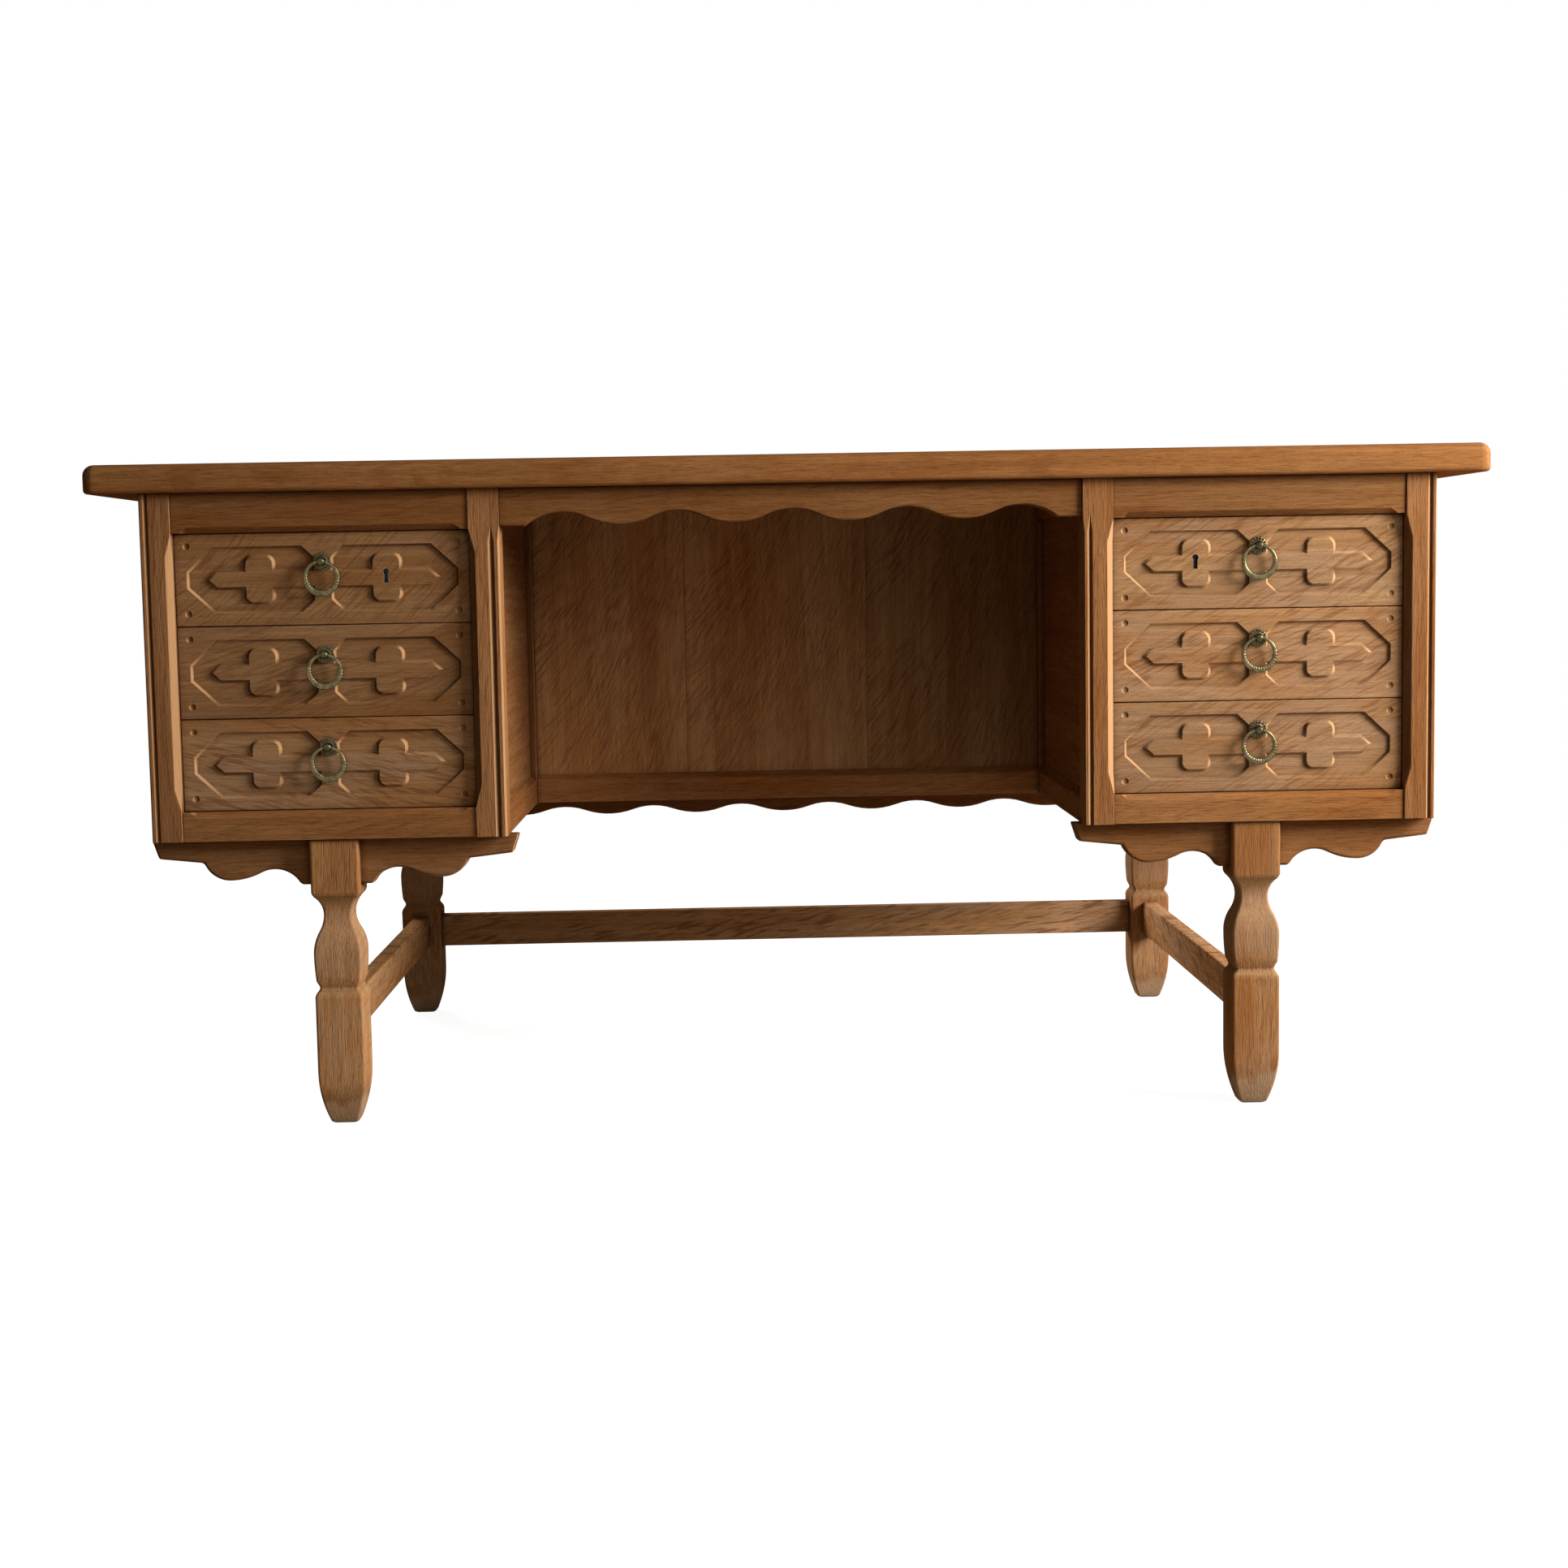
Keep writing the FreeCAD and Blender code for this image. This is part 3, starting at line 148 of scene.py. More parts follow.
def merged_copy(name):
    """The mesh of a CAD node, every solid on its own and every flat face whole."""
    places, solids = solids_of(frame["nodes"][name].data)
    corners, faces = [], []
    for solid in solids:
        own = {}
        for face in solid:
            faces.append([own.setdefault(index, len(corners) + len(own)) for index in face])
        corners.extend(places[index] for index in own)
    mesh = mesh_of(name, corners, faces)
    work = bmesh.new()
    work.from_mesh(mesh)
    bmesh.ops.dissolve_limit(work, angle_limit=FLAT_ANGLE, verts=work.verts, edges=work.edges)
    return written(work, mesh)


def apply_modifiers(piece):
    """Turns a piece and its modifiers into one plain mesh."""
    graph = bpy.context.evaluated_depsgraph_get()
    mesh = bpy.data.meshes.new_from_object(
        piece.evaluated_get(graph), preserve_all_data_layers=True, depsgraph=graph
    )
    old = piece.data
    piece.modifiers.clear()
    piece.data = mesh
    bpy.data.meshes.remove(old)
    mesh.name = piece.name


def shade_evenly(piece):
    """Smooth shading that keeps large flat faces flat and sharp edges sharp."""
    piece.data.shade_smooth()
    piece.data.set_sharp_from_angle(angle=SHARP_ANGLE)
    even = piece.modifiers.new("even_shading", "WEIGHTED_NORMAL")
    even.weight = 100
    even.keep_sharp = True


def soften(piece, width, segments=2, clamped=True):
    """Rounds the sharp edges of a piece and shades it smooth with flat faces kept flat."""
    bevel = piece.modifiers.new("softened_edges", "BEVEL")
    bevel.width = width
    bevel.segments = segments
    bevel.limit_method = "ANGLE"
    bevel.angle_limit = ROUNDED_ANGLE
    bevel.use_clamp_overlap = clamped
    apply_modifiers(piece)
    shade_evenly(piece)
    apply_modifiers(piece)


def boards_of(mesh):
    """The corners of every separate board of a mesh."""
    leader = list(range(len(mesh.vertices)))

    def lead(index):
        while leader[index] != index:
            leader[index] = leader[leader[index]]
            index = leader[index]
        return index

    for edge in mesh.edges:
        first, second = lead(edge.vertices[0]), lead(edge.vertices[1])
        if first != second:
            leader[second] = first
    boards = {}
    for index in range(len(mesh.vertices)):
        boards.setdefault(lead(index), []).append(index)
    return [boards[key] for key in sorted(boards)]


def board_axes(mesh, board):
    """Along the grain and through the thickness of a board, as axis numbers; a square one is thin to the front."""
    spans = []
    for axis in range(3):
        places = [mesh.vertices[index].co[axis] for index in board]
        spans.append(max(places) - min(places))
    grain = max(range(3), key=lambda axis: spans[axis])
    others = [axis for axis in range(3) if axis != grain]
    nearly_even = 0.97
    thin = min(others, key=lambda axis: spans[axis] * (nearly_even if axis == 1 else 1))
    return grain, thin


def dress_in_wood(piece, kind):
    """Numbers the boards of a piece and gives each the finish that runs along it."""
    mesh = piece.data
    marks = mesh.attributes.new("board", "FLOAT", "POINT")
    sides = mesh.attributes.new("across", "FLOAT", "POINT")
    slants = mesh.attributes.new("slant", "FLOAT", "POINT")
    finish_of = [0] * len(mesh.vertices)
    finishes = []
    for number, board in enumerate(boards_of(mesh)):
        share = BOARD_TONES.get(piece.name, steady_share(f"{piece.name}{number * 7}"))
        share = BOARD_TONES.get(f"{piece.name}{number}", share)
        grain, thin = board_axes(mesh, board)
        finish = wood(kind, grain, thin)
        across = 3 - grain - thin
        edge = min(mesh.vertices[index].co[across] for index in board)
        if finish not in finishes:
            finishes.append(finish)
            mesh.materials.append(finish)
        place = finishes.index(finish)
        slant = FRONT_SLANTS.get(piece.name, SLANTS[kind] * (0.5 + share))
        for index in board:
            slants.data[index].value = slant
            marks.data[index].value = share
            sides.data[index].value = mesh.vertices[index].co[across] - edge
            finish_of[index] = place
    for face in mesh.polygons:
        face.material_index = finish_of[face.vertices[0]]


def settle(piece, body, slot, *nodes):
    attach(piece, body)
    if nodes:
        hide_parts(*nodes)


def softened_board(name, kind, slot, width=None, segments=2, reshape=None, clamped=True):
    """A finished wooden copy of a CAD node with softly worn edges."""
    looks = bpy.context.scene.desk_wood
    piece = new_piece(f"{name}_oak", merged_copy(name))
    if reshape:
        reshape(piece.data)
    soften(piece, width or looks.edge_softness, segments, clamped)
    dress_in_wood(piece, kind)
    settle(piece, BODY_OF[name], slot, name)


def reach_into_bevels(mesh):
    """Lets the upright of a side frame reach into the bevels of its rails, so that no light passes it."""
    reach = bpy.context.scene.desk_wood.rail_bevel
    for board in boards_of(mesh):
        if board_axes(mesh, board)[0] != 2:
            continue
        heights = [mesh.vertices[index].co.z for index in board]
        middle = (min(heights) + max(heights)) / 2
        for index in board:
            corner = mesh.vertices[index].co
            corner.z += reach if corner.z > middle else -reach


def slim_groove(share, outer):
    """Draws the bead and groove of a post together by a share; the two inner posts are cut unlike each other and
    unlike the outer ones.
    """

    def reshape(mesh):
        reach = bpy.context.scene.desk_wood.groove_reach
        places = [abs(vertex.co.x) for vertex in mesh.vertices]
        edge = max(places) if outer else min(places)
        front = min(vertex.co.y for vertex in mesh.vertices)
        for vertex in mesh.vertices:
            inset = abs(vertex.co.x) - edge
            if abs(inset) < reach and vertex.co.y < front + reach / 2:
                vertex.co.x = math.copysign(edge + inset * share, vertex.co.x)
                vertex.co.y = front + (vertex.co.y - front) * share

    return reshape


def moved_in(outline, distance, widths=None):
    """A closed outline, counter-clockwise, moved inwards, each wall by its own share of a distance."""
    moved = []
    count = len(outline)
    for index, here in enumerate(outline):
        before, after = outline[index - 1], outline[(index + 1) % count]
        first, second = (here - before).normalized(), (after - here).normalized()
        walls = Vector((-first.y, first.x)), Vector((-second.y, second.x))
        near, far = (widths[index - 1], widths[index]) if widths else (1.0, 1.0)
        turn = walls[0].dot(walls[1])
        room = 1 - turn * turn
        if room < NEARLY_STRAIGHT:
            shift = (walls[0] * near + walls[1] * far) / (1 + turn)
        else:
            shift = (walls[0] * (near - far * turn) + walls[1] * (far - near * turn)) / room
        reach = LONGEST_CORNER * max(near, far)
        if shift.length > reach:
            shift *= reach / shift.length
        moved.append(here + shift * distance)
    return moved


def twice_area(outline):
    """Twice the area of a closed outline, below zero if it runs clockwise."""
    return sum(outline[index - 1].x * here.y - here.x * outline[index - 1].y for index, here in enumerate(outline))


def inside(point, outline):
    """Whether a point lies inside a closed outline."""
    found = False
    for index, here in enumerate(outline):
        last = outline[index - 1]
        if (here.y > point.y) != (last.y > point.y):
            cross = (last.x - here.x) * (point.y - here.y) / (last.y - here.y) + here.x
            if point.x < cross:
                found = not found
    return found


def arc_points(begin, end, radius, turn):
    """Points of an arc: its begin is left out and its end is kept."""
    middle = (begin + end) / 2
    half = (end - begin) / 2
    rise = math.sqrt(max(radius * radius - half.length_squared, 0))
    side = Vector((-half.y, half.x)).normalized() * turn
    centre = middle + side * rise
    first = math.atan2(begin.y - centre.y, begin.x - centre.x)
    last = math.atan2(end.y - centre.y, end.x - centre.x)
    while last - first > math.pi:
        last -= 2 * math.pi
    while first - last > math.pi:
        last += 2 * math.pi
    points = []
    for step in range(1, ARC_STEPS + 1):
        angle = first + (last - first) * step / ARC_STEPS
        points.append(centre + Vector((math.cos(angle), math.sin(angle))) * radius)
    return points


def fill_between(outer, holes):
    """Triangles between an outline and the holes in it, with the points in one list."""
    points, edges = [], []
    for outline in [outer, *holes]:
        start = len(points)
        points.extend(outline)
        count = len(outline)
        edges.extend((start + i, start + (i + 1) % count) for i in range(count))
    verts, _, faces, *_ = delaunay_2d_cdt(points, edges, [], 0, 1e-7)
    if len(verts) != len(points):
        raise RuntimeError("the outlines of a face cross each other")
    kept = []
    for face in faces:
        centre = (verts[face[0]] + verts[face[1]] + verts[face[2]]) / 3
        if inside(centre, outer) and not any(inside(centre, hole) for hole in holes):
            kept.append(face)
    return kept


class Shell:
    """Corners and faces of a closed shape that is put together from loops."""

    def __init__(self):
        self.corners = []
        self.faces = []

    def loop(self, outline, depth):
        start = len(self.corners)
        self.corners.extend((p.x, depth, p.y) for p in outline)
        return list(range(start, len(self.corners)))

    def bridge(self, first, second):
        count = len(first)
        for index in range(count):
            after = (index + 1) % count
            self.faces.append((first[index], first[after], second[after], second[index]))

    def fill(self, loops, outlines):
        """Closes the space between the first loop and the others in one plane."""
        places = [corner for loop in loops for corner in loop]
        for face in fill_between(outlines[0], outlines[1:]):
            self.faces.append(tuple(places[index] for index in face))

    def walls(self, loops):
        for first, second in zip(loops, loops[1:]):
            self.bridge(first, second)

    def pit(self, shapes):
        """Sinks a recess of outlines and depths, closes its ground and gives its rim, as loop and outline."""
        loops = [self.loop(outline, deep) for outline, deep in shapes]
        self.walls(loops)
        self.fill(loops[-1:], [shapes[-1][0]])
        return loops[0], shapes[0][0]

    def mesh(self, name):
        scaled = [tuple(value * MM for value in corner) for corner in self.corners]
        return closed_mesh(name, scaled, self.faces)


def moved_mesh(mesh, place):
    copy = mesh.copy()
    copy.transform(Matrix.Translation(Vector(place)))
    return copy


def cut_away(piece, tool):
    """Takes the tool's shape out of a piece."""
    cutter = new_piece("cutter", tool)
    work = piece.modifiers.new("cut", "BOOLEAN")
    work.operation = "DIFFERENCE"
    work.solver = "EXACT"
    work.object = cutter
    apply_modifiers(piece)
    bpy.data.objects.remove(cutter)
    bpy.data.meshes.remove(tool)


def block_mesh(low, high):
    work = bmesh.new()
    bmesh.ops.create_cube(work, size=1)
    for corner in work.verts:
        for axis in range(3):
            middle = (low[axis] + high[axis]) / 2
            corner.co[axis] = middle + corner.co[axis] * (high[axis] - low[axis])
    return written(work, bpy.data.meshes.new("block"))


def lathe_mesh(name, profile):
    """Turns a profile of reach ahead and radius round the line that runs to the front."""
    corners, faces = [], []
    rows = []
    for reach, radius in profile:
        if radius == 0:
            rows.append([len(corners)] * LATHE_STEPS)
            corners.append((0, -reach * MM, 0))
            continue
        row = []
        for step in range(LATHE_STEPS):
            angle = 2 * math.pi * step / LATHE_STEPS
            row.append(len(corners))
            corners.append((radius * math.cos(angle) * MM, -reach * MM, radius * math.sin(angle) * MM))
        rows.append(row)
    for before, after in zip(rows, rows[1:]):
        for step in range(LATHE_STEPS):
            following = (step + 1) % LATHE_STEPS
            face = [before[step], before[following], after[following], after[step]]
            kept = [c for index, c in enumerate(face) if c != face[index - 1]]
            if len(kept) > 2:
                faces.append(tuple(kept))
    return closed_mesh(name, corners, faces)


# Nodes of the materials


def put(tree, kind, inputs=None, **settings):
    """Adds a node; an input that is given a socket is joined to it."""
    node = tree.nodes.new(kind)
    for key, value in settings.items():
        setattr(node, key, value)
    for key, value in (inputs or {}).items():
        feed(tree, node.inputs[key], value)
    return node


def feed(tree, socket, value):
    if isinstance(value, bpy.types.NodeSocket):
        tree.links.new(value, socket)
    else:
        socket.default_value = value


def calc(tree, operation, *values):
    node = put(tree, "ShaderNodeMath", operation=operation)
    for index, value in enumerate(values):
        feed(tree, node.inputs[index], value)
    return node.outputs[0]


def vector_calc(tree, operation, first, second):
    node = put(tree, "ShaderNodeVectorMath", {0: first, 1: second}, operation=operation)
    return node.outputs[0]


def spread(tree, value, low, high, new_low=0.0, new_high=1.0, smooth=False):
    """Moves a value from one range to another and stops it at the ends."""
    inputs = {"Value": value, "From Min": low, "From Max": high, "To Min": new_low, "To Max": new_high}
    kind = "SMOOTHSTEP" if smooth else "LINEAR"
    return put(tree, "ShaderNodeMapRange", inputs, interpolation_type=kind).outputs["Result"]


def times(tree, first, second):
    return calc(tree, "MULTIPLY", first, second)


def faded_to(tree, share, first, second):
    """One colour that goes over into another by a share."""
    return put(tree, "ShaderNodeMix", {0: share, 6: first, 7: second}, data_type="RGBA").outputs[2]


def triple(tree, first, second, third):
    return put(tree, "ShaderNodeCombineXYZ", {0: first, 1: second, 2: third}).outputs[0]


def grey(tree, value):
    """A colour with three like parts."""
    return triple(tree, value, value, value)


def parts_of(tree, triple_value):
    return put(tree, "ShaderNodeSeparateXYZ", {0: triple_value}).outputs


def dotted(tree, first, second):
    node = put(tree, "ShaderNodeVectorMath", {0: first, 1: second}, operation="DOT_PRODUCT")
    return node.outputs["Value"]


def own_value(tree, name):
    """A number that the mesh carries at its corners."""
    return put(tree, "ShaderNodeAttribute", attribute_name=name).outputs["Fac"]


def own_place(tree):
    return put(tree, "ShaderNodeTexCoord").outputs["Object"]


def noise(tree, place, stretch, detail=2.0, rough=0.5, output="Fac"):
    """Soft noise with its own fineness along each direction, in patches a metre."""
    where = vector_calc(tree, "MULTIPLY", place, stretch)
    inputs = {"Vector": where, "Scale": 1.0, "Detail": detail, "Roughness": rough}
    return put(tree, "ShaderNodeTexNoise", inputs, noise_dimensions="3D").outputs[output]


def drift(tree, place, stretch, swing):
    """A place that sways to and fro by up to half a swing."""
    sway = noise(tree, place, stretch, output="Color")
    sway = vector_calc(tree, "SUBTRACT", sway, (0.5, 0.5, 0.5))
    return vector_calc(tree, "ADD", place, vector_calc(tree, "MULTIPLY", sway, swing))


def new_group(name, inputs, outputs):
    group = bpy.data.node_groups.new(name, "ShaderNodeTree")
    for label, kind, default in inputs:
        socket = group.interface.new_socket(name=label, in_out="INPUT", socket_type=f"NodeSocket{kind}")
        if default is not None:
            socket.default_value = default
    for label, kind in outputs:
        group.interface.new_socket(name=label, in_out="OUTPUT", socket_type=f"NodeSocket{kind}")
    start = group.nodes.new("NodeGroupInput").outputs
    end = group.nodes.new("NodeGroupOutput").inputs
    return group, start, end


def oak_grain_group():
    """Tone, streaks, pores and slanted strokes of oak, for a board whose grain runs along X."""
    name = "Oak grain"
    if name in bpy.data.node_groups:
        return bpy.data.node_groups[name]
    tree, start, end = new_group(
        name,
        [
            ("Board place", "Vector", None),
            ("Figure place", "Vector", None),
            ("Board", "Float", 0.5),
            ("Light", "Color", (0.5, 0.28, 0.14, 1)),
            ("Middle", "Color", (0.4, 0.2, 0.1, 1)),
            ("Dark", "Color", (0.2, 0.09, 0.035, 1)),
            ("Stroke", "Color", (0.2, 0.08, 0.03, 1)),
            ("Faded", "Color", (0.45, 0.3, 0.18, 1)),
            ("Board contrast", "Float", 0.16),
            ("Strokes", "Float", 0.5),
            ("Stroke length", "Float", 25.0),
            ("Stroke gap", "Float", 160.0),
            ("Cover", "Float", 0.5),
            ("Pores", "Float", 0.5),
            ("Fading", "Float", 0.5),
        ],
        [("Color", "Color"), ("Roughness", "Float"), ("Height", "Float")],
    )
    shift = vector_calc(tree, "MULTIPLY", start["Board"], (37.0, 91.0, 53.0))
    place = vector_calc(tree, "ADD", start["Board place"], shift)
    bent = drift(tree, place, (2.2, 9.0, 9.0), (0.02, 0.016, 0.016))
    tone = spread(tree, noise(tree, bent, (1.6, 17.0, 17.0), 4.0, 0.6), 0.34, 0.66)
    streak = spread(tree, noise(tree, bent, (5.0, 150.0, 150.0), 4.0, 0.65), 0.34, 0.66)
    fine = spread(tree, noise(tree, bent, (24.0, 520.0, 520.0), 3.0, 0.65), 0.34, 0.66)
    pore = noise(tree, bent, (55.0, 760.0, 760.0), 1.0)
    pore = times(tree, spread(tree, pore, 0.54, 0.68), start["Pores"])
    figure = vector_calc(tree, "ADD", start["Figure place"], shift)
    figure = drift(tree, figure, (9.0, 16.0, 5.0), (0.0, 0.022, 0.0))
    across = triple(tree, start["Stroke length"], start["Stroke gap"], 12.0)
    edge = spread(tree, start["Cover"], 0.0, 1.0, 0.58, 0.48)
    line = noise(tree, figure, across, 1.5, 0.5)
    line = spread(tree, line, edge, calc(tree, "ADD", edge, 0.12), smooth=True)
    dense = noise(tree, figure, (7.0, 22.0, 6.0), 2.0)
    dense = spread(tree, calc(tree, "MULTIPLY_ADD", start["Cover"], 0.2, dense), 0.46, 0.7)
    line = times(tree, times(tree, line, dense), start["Strokes"])
    colour = faded_to(tree, tone, start["Middle"], start["Light"])
    faded = spread(tree, noise(tree, place, (6.0, 19.0, 19.0), 3.0, 0.6), 0.4, 0.62, smooth=True)
    colour = faded_to(tree, times(tree, faded, start["Fading"]), colour, start["Faded"])
    colour = faded_to(tree, spread(tree, streak, 0.0, 1.0, 0.32, 0.0), colour, start["Dark"])
    lift = spread(tree, start["Board"], 0.0, 1.0, -1.0, 1.0)
    lift = calc(tree, "MULTIPLY_ADD", lift, start["Board contrast"], 1.0)
    lift = times(tree, lift, spread(tree, fine, 0.0, 1.0, 0.88, 1.08))
    mottle = noise(tree, place, (330.0, 640.0, 640.0), 2.0, 0.6)
    lift = times(tree, lift, spread(tree, mottle, 0.3, 0.7, 0.9, 1.09))
    colour = vector_calc(tree, "MULTIPLY", colour, grey(tree, lift))
    colour = faded_to(tree, times(tree, line, 0.8), colour, start["Stroke"])
    colour = faded_to(tree, times(tree, pore, 0.6), colour, start["Dark"])
    feed(tree, end["Color"], colour)
    rough = spread(tree, streak, 0.0, 1.0, 0.55, 0.42)
    feed(tree, end["Roughness"], calc(tree, "MULTIPLY_ADD", pore, 0.2, rough))
    height = calc(tree, "MULTIPLY_ADD", fine, 0.35, times(tree, streak, 0.3))
    height = calc(tree, "SUBTRACT", height, pore)
    feed(tree, end["Height"], calc(tree, "SUBTRACT", height, times(tree, line, 0.5)))
    return tree


def wear_and_painted_light_group():
    """Where edges are rubbed, where corners hold old wax and painted shade, and where carved walls get a painted
    highlight (facing the lamp on the right) or painted shade (facing away, to the left).
    """
    name = "Rubbed edges and dirt"
    if name in bpy.data.node_groups:
        return bpy.data.node_groups[name]
    tree, start, end = new_group(
        name,
        [("Edge width", "Float", 0.002), ("Dirt reach", "Float", 0.012)],
        [("Rubbed", "Float"), ("Dirt", "Float"), ("Bleached", "Float"), ("Grimy", "Float")],
    )
    surface = put(tree, "ShaderNodeNewGeometry").outputs["Normal"]
    soft = put(tree, "ShaderNodeBevel", {"Radius": start["Edge width"]}, samples=4).outputs[0]
    rubbed = spread(tree, dotted(tree, surface, soft), 0.995, 0.86)
    place = own_place(tree)
    patch = spread(tree, noise(tree, place, (38.0, 38.0, 38.0), 3.0, 0.6), 0.35, 0.62)
    # Ambient occlusion darkens corners and recesses: old wax there, and painted shade where less light reaches
    shade = put(tree, "ShaderNodeAmbientOcclusion", {"Distance": start["Dirt reach"]}, samples=4)
    dirt = spread(tree, shade.outputs["AO"], 0.95, 0.35)
    feed(tree, end["Dirt"], dirt)
    # Painted highlight on carved walls that face the main lamp on the right, painted shade on walls that face away
    # from it
    lean = dotted(tree, surface, (0.96, 0.0, 0.25))
    cut = spread(tree, calc(tree, "ABSOLUTE", parts_of(tree, surface)[1]), 0.2, 0.4)
    feed(tree, end["Bleached"], times(tree, spread(tree, lean, 0.3, 0.6, smooth=True), cut))
    feed(tree, end["Grimy"], times(tree, spread(tree, lean, -0.14, -0.5, smooth=True), cut))
    open_share = calc(tree, "SUBTRACT", 1.0, spread(tree, dirt, 0.0, 0.35))
    feed(tree, end["Rubbed"], times(tree, times(tree, rubbed, patch), open_share))
    return tree


def use_group(tree, group, inputs):
    node = tree.nodes.new("ShaderNodeGroup")
    node.node_tree = group
    for key, value in inputs.items():
        feed(tree, node.inputs[key], value)
    return node.outputs


def blank_tree(owner, end_kind):
    """The emptied node tree of a material or world, and the input that ends it."""
    owner.use_nodes = True
    tree = owner.node_tree
    tree.nodes.clear()
    return tree, tree.nodes.new(end_kind).inputs[0]


def new_material(name):
    material = bpy.data.materials.new(name)
    tree, end = blank_tree(material, "ShaderNodeOutputMaterial")
    shader = tree.nodes.new("ShaderNodeBsdfPrincipled")
    tree.links.new(shader.outputs[0], end)
    return material, tree, shader.inputs


def bump(tree, shader, strength, depth, height):
    """Lets the light see small heights and depths of a surface."""
    inputs = {"Strength": strength, "Distance": depth, "Height": height}
    feed(tree, shader["Normal"], put(tree, "ShaderNodeBump", inputs).outputs[0])


TONE_LABELS = ("Light", "Middle", "Dark", "Stroke", "Faded")
# Of each kind of oak surface: how strong its strokes are, how fine along the grain and across it, how much they
# cover, how strong its pores are and how far it is bleached, which on fronts and stretchers is the most that
# painted light to the right reaches
GRAIN_LABELS = ("Strokes", "Stroke length", "Stroke gap", "Cover", "Pores", "Fading")
GRAINS = {
    "frame": (0.45, 20.0, 260.0, 0.5, 0.5, 0.25),
    "post": (0.4, 20.0, 260.0, 0.5, 0.5, 0.4),
    "side": (0.5, 20.0, 220.0, 0.6, 0.4, 0.2),
    "top": (0.4, 16.0, 200.0, 0.5, 0.5, 0.3),
    "front": (0.62, 30.0, 300.0, 0.75, 0.2, 0.7),
    "panel": (0.62, 46.0, 820.0, 0.9, 0.2, 0.15),
    "leg": (0.4, 38.0, 300.0, 0.5, 0.5, 0.55),
    "stretcher": (0.75, 26.0, 240.0, 0.75, 0.5, 0.9),
    "box": (0.3, 20.0, 200.0, 0.4, 0.5, 0.0),
}
# How far the strokes lean from the grain, in radians
SLANTS = {
    "frame": 0.16,
    "post": 0.12,
    "side": 0.2,
    "top": 0.1,
    "front": 0.4,
    "panel": 0.5,
    "leg": 0.2,
    "stretcher": 0.26,
    "box": 0.1,
}
# How strong the painted highlight is on walls cut across the grain that face the lamp, and the painted shade on
# those that face away
PAINTED_WALL_LIGHT = {"frame": 0.75, "post": 0.75, "side": 0.2, "top": 0.2, "front": 0.85, "leg": 0.1, "stretcher": 0.5}
# How much boards differ in tone, where it isn't the board contrast of the settings
CONTRASTS = {"panel": 0.2, "leg": 0.26, "stretcher": 0.03}
# Where a board lies between the darkest (0) and the palest (1) of its kind; the others come by chance
BOARD_TONES = {
    "left_top_drawer_front_carved": 0.45,
    "left_middle_drawer_front_carved": 0.25,
    "left_bottom_drawer_front_carved": 0.85,
    "right_top_drawer_front_carved": 0.6,
    "right_middle_drawer_front_carved": 0.9,
    "right_bottom_drawer_front_carved": 0.5,
    "left_front_leg_oak": 1.0,
    "right_front_leg_oak": 0.3,
    "left_rear_leg_oak": 0.23,
    "right_rear_leg_oak": 0.42,
    "right_side_panels_oak": 1.0,
    # The modesty panel's boards get darker from left to right as painted shade from the right pedestal; the panel's
    # contrast in CONTRASTS widens it
    "modesty_panel_oak0": 1.0,
    "modesty_panel_oak1": 0.9,
    "modesty_panel_oak2": 0.45,
}
# The slant of each front's strokes, in radians
FRONT_SLANTS = {
    "left_top_drawer_front_carved": 0.72,
    "left_middle_drawer_front_carved": 0.3,
    "left_bottom_drawer_front_carved": -0.24,
    "right_top_drawer_front_carved": 0.5,
    "right_middle_drawer_front_carved": 0.42,
    "right_bottom_drawer_front_carved": 0.46,
}
# What the plain oak colours are multiplied with
TINTS = {
    "frame": (0.78, 0.63, 0.48),
    "post": (0.96, 0.82, 0.7),
    "side": (0.68, 0.56, 0.46),
    "top": (0.96, 0.77, 0.56),
    "front": (1.0, 1.0, 1.0),
    "panel": (1.22, 1.22, 1.2),
    "leg": (1.22, 1.12, 0.98),
    "stretcher": (1.62, 1.6, 1.55),
    "box": (1.0, 1.0, 1.0),
}


def tinted(colour, kind):
    tint = TINTS[kind]
    return (*(min(1.0, colour[channel] * tint[channel]) for channel in range(3)), 1.0)


def tones_of(kind):
    """The five tones that the grain of one kind of oak surface is mixed from."""
    looks = bpy.context.scene.desk_wood
    if kind == "box":
        plain = (looks.box_light, looks.box_middle, looks.box_dark, looks.box_dark, looks.box_light)
    else:
        stroke = looks.dark_oak if kind == "panel" else looks.stroke_oak
        plain = (looks.light_oak, looks.middle_oak, looks.dark_oak, stroke, looks.faded_oak)
    tones = {label: tinted(tone, kind) for label, tone in zip(TONE_LABELS, plain)}
    if kind == "stretcher":
        tones["Stroke"] = (*looks.stroke_oak[:3], 1.0)
    return tones


def fanned(tree, along, thick):
    """A place for strokes that lean far over at one side of a board and stand up at the other."""
    looks = bpy.context.scene.desk_wood
    across = own_value(tree, "across")
    start = times(tree, across, looks.fan_start)
    steep = calc(tree, "MULTIPLY_ADD", times(tree, across, across), looks.fan_growth, start)
    return triple(tree, along, times(tree, calc(tree, "SUBTRACT", steep, along), 0.45), thick)


def slanted(tree, place):
    """A place for strokes that lean as the board says."""
    inputs = {"Vector": place, "Angle": times(tree, own_value(tree, "slant"), -1.0)}
    return put(tree, "ShaderNodeVectorRotate", inputs, rotation_type="Z_AXIS").outputs[0]


